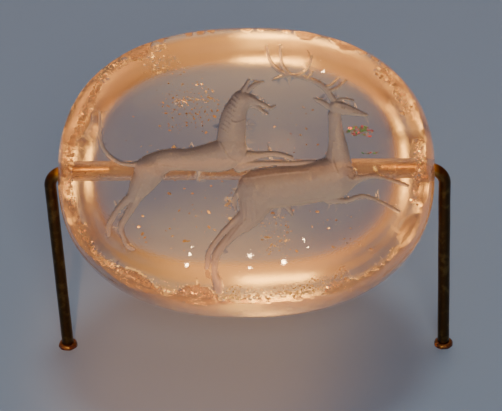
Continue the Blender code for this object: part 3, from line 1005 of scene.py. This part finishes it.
    def mark(self, mesh: Mesh) -> None:
        """Writes how ground, stained and crumbled each point is and its painted groove shade and highlight,
        and gives each face its skin.
        """
        points = read_all(mesh.vertices, "co", 3).reshape(-1, 3)
        depth, _ = self.engraving.measure(points[:, :2])
        on_face = (points[:, 2] > -1.7 * MM) & self.form.inside_face(points[:, :2], 0.1 * MM)
        ground = np.clip(depth / self.full_ground, 0, 1) * on_face
        off_axis = np.hypot(points[:, 1], points[:, 2] + self.form.bore_depth)
        wall = (off_axis < self.form.bore_radius + 3 * self.wander).astype(float)
        along = np.abs(points[:, 0]) / self.form.half_length
        mouth = np.clip((along - self.mouth_from) / (1 - self.mouth_from), 0, 1)
        # Painted shade and highlight: upper groove walls are darkened and lower ones lightened, as light from
        # above falls
        rise = self.slope_step
        above = self.engraving.measure(points[:, :2] + (0, rise))[0]
        below = self.engraving.measure(points[:, :2] - (0, rise))[0]
        slope = (above - below) / (2 * rise) * on_face * (depth > 0)
        shade = np.clip(-slope / self.full_shade - self.least_slope, 0, 1)
        shine = np.clip(slope / self.full_shade - self.least_slope, 0, 1)
        crumbs = np.clip(1.6 * self.edge.wear(points), 0, 1)
        for middle, radius in zip(self.edge.centres, self.edge.radii):
            off = np.abs(np.linalg.norm(points - middle, axis=1) - radius)
            crumbs = np.maximum(crumbs, 0.3 * (off < self.break_skin) * (1 - wall))
        behind = self.back_wear * np.clip(-points[:, 2] / (0.4 * MM), 0, 1) * (1 - wall)
        frost = np.clip(np.maximum.reduce([ground, 0.8 * wall, 0.3 * crumbs, behind]), 0, 1)
        stain = np.clip(0.25 * ground + wall * (0.35 + 0.5 * mouth) + 0.2 * crumbs, 0, 1)
        marks = {"frost": frost, "stain": stain, "crumbs": crumbs, "shade": shade, "shine": shine}
        for name, values in marks.items():
            attribute = mesh.attributes.new(name, "FLOAT", "POINT")
            attribute.data.foreach_set("value", values.astype(np.float32))
        corners = read_all(mesh.loops, "vertex_index", kind=int)
        starts = read_all(mesh.polygons, "loop_start", kind=int)
        sizes = np.diff(np.append(starts, len(corners)))
        skins = np.full(len(starts), Skin.POLISHED.value)
        cut = np.maximum(ground, wall)
        kinds = ((crumbs, self.least_crumbs, Skin.BROKEN), (cut, self.least_ground, Skin.GROUND))
        for values, least, skin in kinds:
            skins[np.add.reduceat(values[corners], starts) / sizes > least] = skin.value
        mesh.polygons.foreach_set("material_index", skins.astype(np.int32))

    def keep_flat(self, mesh: Mesh) -> None:
        """Makes the border of the flat ground crisp, so that no groove bends its mirror-like shading."""
        level = np.abs(read_all(mesh.vertices, "co", 3)[2::3]) < self.flat_within
        corners = read_all(mesh.loops, "vertex_index", kind=int)
        sides = read_all(mesh.loops, "edge_index", kind=int)
        starts = read_all(mesh.polygons, "loop_start", kind=int)
        flat = np.logical_and.reduceat(level[corners], starts)
        per_corner = np.repeat(flat, np.diff(np.append(starts, len(corners))))
        beside_flat = np.bincount(sides, weights=per_corner)
        border = (beside_flat > 0) & (beside_flat < np.bincount(sides))
        marks = mesh.attributes["sharp_edge"].data
        marks.foreach_set("value", read_all(marks, "value", kind=bool) | border)

    def build(self) -> Object:
        """Builds and dresses the stone.

        Returns:
            The finished object, which stands for the CAD node.
        """
        rough = add_object("crystal_blank", self.skin())
        bore = self.drill()
        cut = rough.modifiers.new("bore", "BOOLEAN")
        cut.object = bore
        cut.operation = "DIFFERENCE"
        cut.solver = "EXACT"
        mesh = evaluated_mesh(rough)
        for done in (rough, bore):
            bpy.data.objects.remove(done)
        mesh.name = "crystal"
        mesh.materials.clear()
        for skin in Skin:
            mesh.materials.append(self.finishes[skin].material())
        self.mark(mesh)
        mesh.shade_smooth()
        mesh.set_sharp_from_angle(angle=self.crease)
        self.keep_flat(mesh)
        mesh.transform(self.form.place)
        made = add_object("crystal", mesh)
        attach(made, "root")
        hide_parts("seal")
        return made


# Wires and collars, and the flakes inside the stone


def end_tree(hand: Nodes, result: Items, shape: NodeSocket, paint: NodeSocket) -> None:
    """Ends a Geometry Nodes tree: its shape made real and given its material."""
    real = hand.add("GeometryNodeRealizeInstances", {"Geometry": shape})
    values = {"Geometry": real.outputs["Geometry"], "Material": paint}
    hand.join(hand.add("GeometryNodeSetMaterial", values).outputs["Geometry"], result["Geometry"])


def wire_tree() -> NodeTree:
    """Geometry Nodes that turn a path into a wire of named radius.

    Returns:
        The tree, with the inputs Geometry, Radius, Sides and Material.
    """
    inputs = {
        "Geometry": ("Geometry", None),
        "Radius": ("Float", 0.5 * MM),
        "Sides": ("Int", 32),
        "Material": ("Material", None),
    }
    hand, given, result = start_tree("wire along a path", "Geometry", inputs, ("Geometry", "Geometry"))
    values = {"Resolution": given["Sides"], "Radius": given["Radius"]}
    circle = hand.add("GeometryNodeCurvePrimitiveCircle", values)
    values = {"Fill Caps": True, "Curve": given["Geometry"], "Profile Curve": circle.outputs["Curve"]}
    sweep = hand.add("GeometryNodeCurveToMesh", values)
    end_tree(hand, result, sweep.outputs["Mesh"], given["Material"])
    return hand.tree


def run_tree(holder: Object, tree: NodeTree, values: dict[str, object]) -> Mesh:
    """Runs a Geometry Nodes tree on an object and takes the result as a plain mesh.

    Args:
        holder: The object that the tree reads; it is removed afterwards.
        tree: The tree.
        values: What each named input is set to.

    Returns:
        The plain mesh.
    """
    modifier = holder.modifiers.new(tree.name, "NODES")
    modifier.node_group = tree
    for item in tree.interface.items_tree:
        if item.item_type == "SOCKET" and item.in_out == "INPUT" and item.name in values:
            modifier[item.identifier] = values[item.name]
    mesh = evaluated_mesh(holder)
    holder.modifiers.remove(modifier)
    bpy.data.objects.remove(holder)
    return mesh


def fleck_tree() -> NodeTree:
    """Geometry Nodes that scatter little flakes over a patch, lying along it or tumbled.

    Returns:
        The tree, with the inputs Geometry, Density, Smallest, Largest, Tumble, Seed and Material.
    """
    inputs = {
        "Geometry": ("Geometry", None),
        "Density": ("Float", 1e6),
        "Smallest": ("Float", 0.03 * MM),
        "Largest": ("Float", 0.2 * MM),
        "Tumble": ("Float", 0.6),
        "Seed": ("Int", 1),
        "Material": ("Material", None),
    }
    hand, given, result = start_tree("flecks on a patch", "Geometry", inputs, ("Geometry", "Geometry"))
    seed = {"Seed": given["Seed"]}
    values = {"Mesh": given["Geometry"], "Density": given["Density"], **seed}
    places = hand.add("GeometryNodeDistributePointsOnFaces", values).outputs
    flake = hand.add("GeometryNodeMeshIcoSphere", {"Radius": 1.0, "Subdivisions": 1})
    ends = {k: hand.math("MULTIPLY", given["Tumble"], way) for k, way in enumerate((-math.pi, math.pi))}
    turn = hand.add("FunctionNodeRandomValue", {**ends, **seed}, data_type="FLOAT_VECTOR")
    pick = hand.add("FunctionNodeRandomValue", seed, data_type="FLOAT")
    small = hand.math("POWER", next(s for s in pick.outputs if s.type == "VALUE"), 3.0)
    span = hand.math("SUBTRACT", given["Largest"], given["Smallest"])
    size = hand.math("MULTIPLY_ADD", small, span, given["Smallest"])
    thin = hand.add("ShaderNodeVectorMath", {0: size, 1: FLAKE_SHAPE}, operation="MULTIPLY")
    tumbled = hand.add("FunctionNodeEulerToRotation", {0: turn.outputs[0]}).outputs[0]
    values = {0: places["Rotation"], 1: tumbled}
    lie = hand.add("FunctionNodeRotateRotation", values, rotation_space="LOCAL").outputs[0]
    values = {"Points": places["Points"], "Instance": flake.outputs["Mesh"], "Scale": thin.outputs[0]}
    spread = hand.add("GeometryNodeInstanceOnPoints", {**values, "Rotation": lie})
    end_tree(hand, result, spread.outputs["Instances"], given["Material"])
    return hand.tree


@dataclass(frozen=True)
class Flecks:
    """How many flecks a patch has, their finish, how much they tumble, and how large they are."""

    count: int
    finish: FleckFinish
    tumble: float
    largest: float = 0.24 * MM
    smallest: float = 0.04 * MM


@dataclass(frozen=True)
class Patch:
    """A healed crack or a cloud of specks inside the stone, seen from in front of the face.

    Places and sizes are in divisions of the face's grid; depth is in metres behind the face.
    """

    flecks: Flecks
    middle: tuple[float, float]
    size: tuple[float, float]
    depth: float = 1.8 * MM
    lean: tuple[float, float] = (0.12, -0.03)
    steps: int = 12
    ragged_from: float = 0.42
    bow: float = 0.35 * MM

    def sheet(self, name: str, edge: BrokenEdge) -> Mesh:
        """The gently bowed sheet that the flecks lie on, with ragged ends.

        Args:
            name: The patch's name.
            edge: The stone's chips; not used here.

        Returns:
            The sheet, in the seal's frame.
        """
        made = bmesh.new()
        bmesh.ops.create_grid(made, x_segments=self.steps, y_segments=self.steps, size=0.5)
        ragged = [face for face in made.faces if face.calc_center_median().length > self.ragged_from]
        ragged = [face for face in ragged if noise.noise(face.calc_center_median() * 9) > -0.1]
        bmesh.ops.delete(made, geom=ragged, context="FACES")
        for vertex in made.verts:
            u, v = vertex.co.x, vertex.co.y
            rise = self.bow * noise.noise(Vector((u * 2.5, v * 2.5, self.flecks.count * 0.37)))
            vertex.co = (u * self.size[0] * MM, v * self.size[1] * MM, rise)
        mesh = bpy.data.meshes.new(name)
        made.to_mesh(mesh)
        made.free()
        lean = Matrix.Rotation(self.lean[0], 4, "X") @ Matrix.Rotation(self.lean[1], 4, "Y")
        mesh.transform(Matrix.Translation((self.middle[0] * MM, self.middle[1] * MM, -self.depth)) @ lean)
        return mesh


@dataclass(frozen=True)
class RimCrack:
    """A stretch of fine cracks close under the face's broken edge, between two angles round it."""

    flecks: Flecks
    start: float
    end: float
    insets: tuple[float, float] = (0.25 * MM, 1.3 * MM)
    depths: tuple[float, float] = (0.5 * MM, 0.4 * MM)
    steps: int = 40
    rows: int = 4

    def sheet(self, name: str, edge: BrokenEdge) -> Mesh:
        """The narrow strip under the edge that the flecks lie on, wavy along its inner side.

        Args:
            name: The stretch's name.
            edge: The stone's chips, which it stays under.

        Returns:
            The strip, in the seal's frame.
        """
        form = edge.form
        turns = np.radians(np.linspace(self.start, self.end, self.steps))
        ripple = [abs(noise.noise(Vector((turn * 5, 0, self.start)))) for turn in turns]
        wave = 0.6 + 0.9 * np.array(ripple)
        rows = []
        for share in np.linspace(0, 1, self.rows):
            inset = np.interp(share, (0, 1), self.insets) * (1 - share + share * wave)
            depth = np.interp(share, (0, 1), self.depths)
            reach = form.face_inset + inset
            flat = form.oval(turns, reach, form.face_power)
            rows.append(edge.apply(np.column_stack([flat, np.full(self.steps, -depth)]), depth)[0])
        starts = [row * self.steps + k for row in range(self.rows - 1) for k in range(self.steps - 1)]
        faces = [(k, k + 1, k + 1 + self.steps, k + self.steps) for k in starts]
        mesh = bpy.data.meshes.new(name)
        mesh.from_pydata(np.vstack(rows).tolist(), [], faces)
        return mesh


@dataclass
class Inclusions:
    """Everything that is sealed in the stone: flakes, specks and veils of healed cracks."""

    edge: BrokenEdge
    patches: dict[str, Patch | RimCrack]
    seed: int = 11

    def build(self, tree: NodeTree) -> list[Object]:
        """Scatters the flecks of every patch.

        Args:
            tree: The Geometry Nodes that scatter them.

        Returns:
            The finished objects.
        """
        made = []
        paints = dict.fromkeys(patch.flecks.finish for patch in self.patches.values())
        paints = {finish: finish.material() for finish in paints}
        for number, (name, patch) in enumerate(self.patches.items()):
            sheet = patch.sheet(name, self.edge)
            sheet.transform(self.edge.form.place)
            area = sum(face.area for face in sheet.polygons)
            kind = patch.flecks
            finish = paints[kind.finish]
            values = {
                "Density": kind.count / area,
                "Smallest": kind.smallest,
                "Largest": kind.largest,
                "Tumble": kind.tumble,
                "Seed": self.seed + number,
                "Material": finish,
            }
            mesh = run_tree(add_object(name, sheet), tree, values)
            mesh.name = name
            flecks = add_object(name, mesh, finish)
            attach(flecks, "root")
            made.append(flecks)
        return made


@dataclass
class Pin:
    """One bent wire: up from the deck, over in a hand-made bend and into the bore."""

    side: Side
    x: float
    height: float
    radius: float
    reach: float
    finish: BrassFinish
    bend_radius: float = 1.45 * MM
    bend_steps: int = 22
    kink: float = 0.05 * MM
    kink_ease: float = 3 * MM
    crease: float = math.radians(40)
    sides: int = 32

    def route(self) -> list[Vector]:
        """The wire's middle line, with the small kinks of a wire bent by hand."""
        bend = Vector((self.x - self.bend_radius, 0, self.height - self.bend_radius))
        line = [Vector((self.x, 0, z * bend.z / 9)) for z in range(9)]
        for step in range(self.bend_steps + 1):
            angle = 0.5 * math.pi * step / self.bend_steps
            line.append(bend + self.bend_radius * Vector((math.cos(angle), 0, math.sin(angle))))
        line.append(Vector((0.5 * (bend.x + self.reach), 0, self.height)))
        line.append(Vector((self.reach, 0, self.height)))
        foot = line[0].z
        for point in line[1:-2]:
            ease = min(1.0, (point.z - foot) / self.kink_ease)
            ease *= min(1.0, (self.height - point.z) / self.kink_ease)
            sway = noise.noise(Vector((self.side.value * 5.0, 0.0, point.z / MM * 0.16)))
            point.y += self.kink * ease * sway
            point.x -= self.kink * ease * abs(sway)
        return [Vector((self.side.value * point.x, point.y, point.z)) for point in line]

    def build(self, tree: NodeTree) -> Object:
        """Builds and dresses the wire.

        Args:
            tree: The Geometry Nodes that sweep it.

        Returns:
            The finished object.
        """
        name = f"{self.side.name.lower()}_wire"
        path = bpy.data.curves.new(name, "CURVE")
        path.dimensions = "3D"
        spline = path.splines.new("POLY")
        route = self.route()
        spline.points.add(len(route) - 1)
        for point, place in zip(spline.points, route):
            point.co = (*place, 1)
        brass = self.finish.material()
        values = {"Radius": self.radius, "Sides": self.sides, "Material": brass}
        mesh = run_tree(add_object(name, path), tree, values)
        mesh.name = name
        mesh.shade_smooth()
        mesh.set_sharp_from_angle(angle=self.crease)
        made = add_object(name, mesh, brass)
        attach(made, "root")
        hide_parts(f"{self.side.name.lower()}_pin")
        return made


@dataclass
class FootBead:
    """The little collar of resin that has run round a pin's foot and set unevenly."""

    side: Side
    x: float
    inner: float
    outer: float
    height: float
    finish: ResinFinish
    sides: int = 56
    rings: int = 12
    lumpiness: float = 0.35

    def build(self) -> Object:
        """Builds and dresses the collar.

        Returns:
            The finished object.
        """
        made = bmesh.new()
        columns = []
        for k in range(self.sides):
            turn = math.tau * k / self.sides
            way = Vector((math.cos(turn), math.sin(turn), 0))
            lump = noise.noise(way * 1.3 + Vector((self.side.value * 4.0, 2.0, 0.5)))
            wall = (self.outer - self.inner) * (1 - self.lumpiness * abs(lump))
            height = self.height * (1 - self.lumpiness * max(lump, 0.0))
            column = [made.verts.new(way * self.inner)]
            for step in range(self.rings + 1):
                angle = 0.5 * math.pi * (1 - step / self.rings)
                across = self.inner + wall * math.cos(angle)
                column.append(made.verts.new(way * across + Vector((0, 0, height * math.sin(angle)))))
            columns.append(column)
        for first, second in zip(columns, columns[1:] + columns[:1]):
            for low in range(-1, len(first) - 1):
                made.faces.new((first[low], second[low], second[low + 1], first[low + 1]))
        name = f"{self.side.name.lower()}_collar"
        mesh = closed_mesh(name, made)
        mesh.transform(Matrix.Translation((self.side.value * self.x, 0, 0)))
        mesh.shade_smooth()
        collar = add_object(name, mesh, self.finish.material())
        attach(collar, "root")
        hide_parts(f"{self.side.name.lower()}_foot_bead")
        return collar


# Floor, light and camera


@dataclass
class Studio:
    """The plain floor, the soft light and the camera."""

    target: Vector
    lens_px: float = 2248.0
    elevation: float = math.radians(34.98)
    azimuth: float = math.radians(4.3)
    roll: float = math.radians(-2.9)
    distance: float = 184.7 * MM
    shift_right: float = 0.42 * MM
    shift_up: float = -2.73 * MM
    floor_colour: Colour = (0.22, 0.33, 0.54)
    floor_roughness: float = 0.55
    floor_radius: float = 1.6
    lamp_colour: Colour = (1.0, 0.8, 0.56)
    lamp_distance: float = 0.42
    soft_lamps: tuple[tuple[float, ...], ...] = (
        (0.05, 0.1, 0.99, 50, 0.62),
        (0.13, -0.79, 0.59, 70, 0.68),
    )
    even_glow: Colour = (0.15, 0.17, 0.2)
    low_wall: Colour = (0.55, 0.22, 0.075)
    high_wall: Colour = (0.78, 0.31, 0.1)
    ceiling: Colour = (1.15, 0.45, 0.135)
    right_wall: Colour = (0.35, 0.12, 0.035)
    right_share: float = 0.85
    bright_places: tuple[tuple[float, ...], ...] = (
        (-0.09, -0.84, 0.53, 3, 10, 2.5),
        (-0.12, -0.89, 0.43, 3, 10, 3.2),
        (-0.32, -0.78, 0.53, 3, 10, 2.4),
        (0.0, -0.25, 0.97, 2, 10, 0.4),
        (-0.06, -0.5, 0.864, 2.5, 6, 0.7),
        (-0.078, -0.65, 0.757, 0.5, 4.3, 1.1),
    )
    bright_colour: Colour = (7.0, 3.5, 0.7)
    pool_lamps: tuple[tuple[float, ...], ...] = (
        (-6, -66, -5, -100, 340, 17, 16.0),
        (-5, -3, -8, -150, 85, 11, 1.5),
    )
    pool_colour: Colour = (1.0, 0.34, 0.08)
    pool_blend: float = 0.9
    pool_softness: float = 4 * MM
    ceiling_spots: tuple[tuple[float, ...], ...] = (
        (-0.0945, -0.6290, 0.7753, 1.6),
        (-0.0929, -0.6246, 0.7791, 1.1),
        (-0.0918, -0.6218, 0.7815, 0.6),
        (-0.0615, -0.6268, 0.7799, 1.4),
        (-0.0615, -0.6317, 0.7758, 1.1),
        (-0.0437, -0.6299, 0.7784, 2.0),
        (-0.0331, -0.6212, 0.7860, 0.8),
        (-0.0310, -0.6241, 0.7837, 0.6),
        (-0.0595, -0.6458, 0.7641, 1.0),
        (-0.0220, -0.5510, 0.8401, 0.8),
    )
    spot_colour: Colour = (1.0, 0.65, 0.33)
    spot_glow: float = 400.0

    def camera(self) -> None:
        """Stands the camera where the photograph was taken from."""
        e, a = self.elevation, self.azimuth
        back = Vector((math.sin(a) * math.cos(e), -math.cos(a) * math.cos(e), math.sin(e)))
        level = Vector((math.cos(a), math.sin(a), 0))
        upright = back.cross(level)
        right = level * math.cos(self.roll) + upright * math.sin(self.roll)
        up = -level * math.sin(self.roll) + upright * math.cos(self.roll)
        data = bpy.data.cameras.new("camera")
        data.sensor_width = SENSOR_MM
        data.lens = self.lens_px * SENSOR_MM / PHOTO_WIDTH
        data.clip_start = 0.01
        data.clip_end = 20
        made = add_object("camera", data)
        turn = Matrix((right, up, back)).transposed().to_4x4()
        place = self.target + back * self.distance + right * self.shift_right + up * self.shift_up
        made.matrix_world = Matrix.Translation(place) @ turn
        bpy.context.scene.camera = made

    def floor(self) -> None:
        """Lays the floor."""
        bpy.ops.mesh.primitive_circle_add(vertices=128, radius=self.floor_radius, fill_type="NGON")
        made = bpy.context.object
        made.name = "floor"
        paint, hand, shader = start_paint("floor paint")
        hand.fill(shader, {"Base Color": self.floor_colour, "Roughness": self.floor_roughness})
        made.data.materials.append(paint)

    def lamp(self, data: Light, place: Vector, way: Vector, colour: Colour, power: float) -> None:
        """Hangs a lamp that lights but isn't seen in what is polished or clear.

        Args:
            data: Its kind and size.
            place: Where it hangs.
            way: Where it shines.
            colour: Its colour.
            power: Its power.
        """
        data.energy = power
        data.color = colour
        made = add_object(data.name, data)
        made.location = place
        made.rotation_euler = way.to_track_quat("-Z", "Y").to_euler()
        made.visible_glossy = False
        made.visible_transmission = False

    def light(self) -> None:
        """Hangs the soft lamps, the two that throw pools of light, and the small spots that only glint."""
        for number, (x, y, z, radius, power) in enumerate(self.soft_lamps):
            data = bpy.data.lights.new(f"soft lamp {number}", "AREA")
            data.shape = "DISK"
            data.size = 2 * radius * MM
            toward = Vector((x, y, z))
            place = self.target + toward.normalized() * self.lamp_distance
            self.lamp(data, place, -toward, self.lamp_colour, power)
        for number, (to_x, to_y, x, y, z, spread, power) in enumerate(self.pool_lamps):
            data = bpy.data.lights.new(f"pool lamp {number}", "SPOT")
            data.spot_size = math.radians(spread)
            data.spot_blend = self.pool_blend
            data.shadow_soft_size = self.pool_softness
            self.lamp(data, Vector((x, y, z)) * MM, Vector((to_x - x, to_y - y, -z)), self.pool_colour, power)
        for number, (x, y, z, radius) in enumerate(self.ceiling_spots):
            self.ceiling_spot(f"ceiling_spot_{number}", Vector((x, y, z)), radius * MM)

    def ceiling_spot(self, name: str, toward: Vector, radius: float) -> None:
        """Hangs a small lit disc a metre away, which only shows as a glint in what is polished.

        Args:
            name: Its name.
            toward: The way to it from the seal.
            radius: Its radius.
        """
        bpy.ops.mesh.primitive_circle_add(vertices=24, radius=radius, fill_type="NGON")
        made = bpy.context.object
        made.name = name
        turn = toward.to_track_quat("Z", "Y").to_matrix().to_4x4()
        made.data.transform(Matrix.Translation(self.target + toward) @ turn)
        paint, hand, shader = start_paint(name)
        paint.cycles.emission_sampling = "NONE"
        path = hand.add("ShaderNodeLightPath").outputs
        outside = hand.math("LESS_THAN", path["Transmission Depth"], 0.5)
        values = {0: hand.add("ShaderNodeUVMap").outputs["UV"], 1: (0.5, 0.5, 0.0)}
        from_middle = hand.add("ShaderNodeVectorMath", values, operation="DISTANCE")
        faded = hand.ramp(from_middle.outputs["Value"], 0.5, 0.1)
        lit = hand.math("MULTIPLY", outside, hand.math("POWER", faded, 2.0))
        values = {
            "Base Color": (0, 0, 0),
            "Emission Color": self.spot_colour,
            "Emission Strength": hand.math("MULTIPLY", lit, self.spot_glow),
        }
        hand.fill(shader, values)
        made.data.materials.append(paint)
        made.visible_diffuse = False
        made.visible_shadow = False
        made.visible_camera = False

    def room(self) -> None:
        """Sets the glow of the room: even for dull surfaces, warm and brightest overhead in polished ones."""
        world = bpy.data.worlds.new("room")
        bpy.context.scene.world = world
        world.use_nodes = True
        hand = Nodes(world.node_tree)
        way = hand.add("ShaderNodeTexCoord").outputs["Generated"]
        split = hand.add("ShaderNodeSeparateXYZ", {0: way}).outputs
        walls = hand.mix_colour(hand.ramp(split["Z"], -0.1, 0.55), self.low_wall, self.high_wall)
        glow = hand.mix_colour(hand.ramp(split["Z"], 0.4, 1.0), walls, self.ceiling)
        right = hand.math("MULTIPLY", hand.ramp(split["X"], 0.0, 0.8), self.right_share)
        glow = hand.mix_colour(right, glow, self.right_wall)
        for x, y, z, inner, outer, strength in self.bright_places:
            values = {0: way, 1: Vector((x, y, z)).normalized()}
            near = hand.add("ShaderNodeVectorMath", values, operation="DOT_PRODUCT").outputs["Value"]
            low, high = math.cos(math.radians(outer)), math.cos(math.radians(inner))
            colour = tuple(strength * part for part in self.bright_colour)
            glow = hand.mix_colour(hand.ramp(near, low, high), glow, colour)
        path = hand.add("ShaderNodeLightPath").outputs
        polished = hand.math("MAXIMUM", path["Is Glossy Ray"], path["Is Transmission Ray"])
        seen = hand.mix_colour(polished, self.even_glow, glow)
        hand.fill(world.node_tree.nodes["Background"], {"Color": seen})

    def build(self) -> None:
        """Builds the floor, light and camera."""
        self.floor()
        self.room()
        self.light()
        self.camera()


# Everything together


def sealed_in(slot: str) -> dict[str, Patch | RimCrack]:
    """The flecks in the stone, each patch with its place and finish.

    Args:
        slot: The record's slot that they take their finish from.

    Returns:
        The patches by name.
    """
    gold = FleckFinish("golden flecks", slot, pale=(1, 0.86, 0.66), rusty=(0.75, 0.48, 0.25))
    pale = FleckFinish("bright flecks", slot, pale=(1, 0.95, 0.9), rusty=(1, 0.85, 0.65), roughness=0.1)
    rust = FleckFinish("rusty flecks", slot, pale=(0.8, 0.55, 0.32), rusty=(0.42, 0.25, 0.14), metal=0.4)
    pink, green = (1, 0.3, 0.55), (0.2, 0.85, 0.45)
    rainbow = FleckFinish("rainbow flecks", slot, pale=pink, rusty=green, patch_scale=2500)
    far, deep = 2.4 * MM, 5.6 * MM
    grain = (0.15 * MM, 0.03 * MM)
    over = Flecks(50, rust, 0.9, 0.18 * MM)
    return {
        "flecks_over_the_hound": Patch(Flecks(190, gold, 0.3, 0.17 * MM), (-4.4, 5.2), (5.6, 4.6), far),
        "rust_over_the_hound": Patch(over, (-4.8, 4.6), (5.4, 4.4), far, (-0.2, 0.3)),
        "bright_string": Patch(Flecks(40, pale, 0.2), (-3.3, 5.7), (4.2, 0.35)),
        "bright_flakes": Patch(Flecks(12, pale, 0.16, 0.4 * MM, 0.24 * MM), (-5.1, 5.4), (1.2, 0.8)),
        "upper_left_crack": Patch(Flecks(130, pale, 0.2), (-6.6, 8.6), (3.4, 1.7)),
        "lower_veil": Patch(Flecks(150, pale, 0.3, 0.16 * MM), (2.5, -5.4), (3.0, 4.0), far, (0.15, 0.3)),
        "veil_edge": Patch(Flecks(24, pale, 0.12), (3.5, -4.9), (0.25, 2.6)),
        "behind_the_haunch": Patch(Flecks(30, pale, 0.12), (-1.3, -3.1), (0.5, 2.2)),
        "rainbow_crack": Patch(Flecks(110, rainbow, 0.14), (9.4, 2.9), (2.3, 0.9)),
        "rainbow_line": Patch(Flecks(26, rainbow, 0.12), (10.2, 1.1), (1.9, 0.25)),
        "rust_by_the_antler": Patch(Flecks(20, rust, 0.5), (4.6, 4.2), (3.6, 2.4), far, (0.2, -0.2)),
        "specks_below": Patch(Flecks(34, gold, 0.25), (-5.6, -4.6), (8.5, 3.4), far),
        "specks_right": Patch(Flecks(34, pale, 0.2), (7.6, -5.4), (5.6, 3.6)),
        "specks_all_over": Patch(Flecks(170, gold, 0.3), (0.0, -0.5), (20.0, 13.0), deep),
        "left_end_cracks": RimCrack(Flecks(620, pale, 0.15), 138, 194),
        "upper_left_cracks": RimCrack(Flecks(170, pale, 0.15), 112, 134),
        "lower_left_cracks": RimCrack(Flecks(260, pale, 0.15), 204, 252, (0.35 * MM, 0.8 * MM)),
        "foot_cracks": RimCrack(Flecks(320, pale, 0.15), 254, 300, (0.3 * MM, 0.9 * MM)),
        "right_end_cracks": RimCrack(Flecks(180, pale, 0.15), -14, 8),
        "upper_right_cracks": RimCrack(Flecks(220, pale, 0.15), 20, 44),
        "left_grain": RimCrack(Flecks(620, pale, 0.35, *grain), 140, 236, (0.4 * MM, 1.2 * MM)),
        "foot_grain": RimCrack(Flecks(1100, pale, 0.35, *grain), 236, 304, (0.4 * MM, 1.8 * MM)),
    }


def clear_startup() -> None:
    """Removes the startup scene's own objects."""
    for name in ("Cube", "Light", "Camera"):
        found = bpy.data.objects.get(name)
        if found:
            bpy.data.objects.remove(found)


def main() -> None:
    """Builds every piece in order and reports each."""
    logging.basicConfig(level=logging.INFO, format="%(message)s")
    clear_startup()
    seal_low, seal_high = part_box("seal")
    pin_low, pin_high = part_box("right_pin")
    bead_low, bead_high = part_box("right_foot_bead")
    pin_radius = 0.5 * (pin_high.y - pin_low.y)
    pin_x = pin_high.x - pin_radius
    pin_height = pin_high.z - pin_radius
    form = SealForm(0.5 * (seal_high.x - seal_low.x), pin_height - PLAY + ROOF_GAP)
    slot = "rock_crystal"
    finishes = {
        Skin.POLISHED: CrystalFinish("polished crystal", slot),
        Skin.GROUND: CrystalFinish(
            "ground crystal",
            slot,
            ground=(0.84, 0.81, 0.85),
            transmission=0.7,
            ground_roughness=0.4,
            grit=0.9,
        ),
        # The broken skin's amber colours are partly iron staining and partly painted warm lamp light
        Skin.BROKEN: CrystalFinish(
            "broken crystal",
            slot,
            clear=(1.0, 0.8, 0.56),
            ground=(1.0, 0.78, 0.52),
            stained=(0.95, 0.66, 0.38),
            transmission=0.88,
            splinters=1.4,
            splinter_scale=6000.0,
        ),
    }
    edge = BrokenEdge(form)
    pieces = [Crystal(form, Engraving(form), edge, finishes).build()]
    pieces += Inclusions(edge, sealed_in(slot)).build(fleck_tree())
    sweep = wire_tree()
    brass = BrassFinish("old brass", "pin_brass")
    resin = ResinFinish("amber resin", "amber_resin")
    outer, inner = 0.5 * (bead_high.y - bead_low.y), pin_radius + COLLAR_GAP
    for side in Side:
        pieces.append(Pin(side, pin_x, pin_height, pin_radius, pin_low.x, brass).build(sweep))
        pieces.append(FootBead(side, pin_x, inner, outer, bead_high.z, resin).build())
    for piece in pieces:
        LOG.info("%s: %d faces", piece.name, len(piece.data.polygons))
    Studio(Vector((0, 0, TARGET_HEIGHT))).build()


if __name__ == "__main__":
    main()
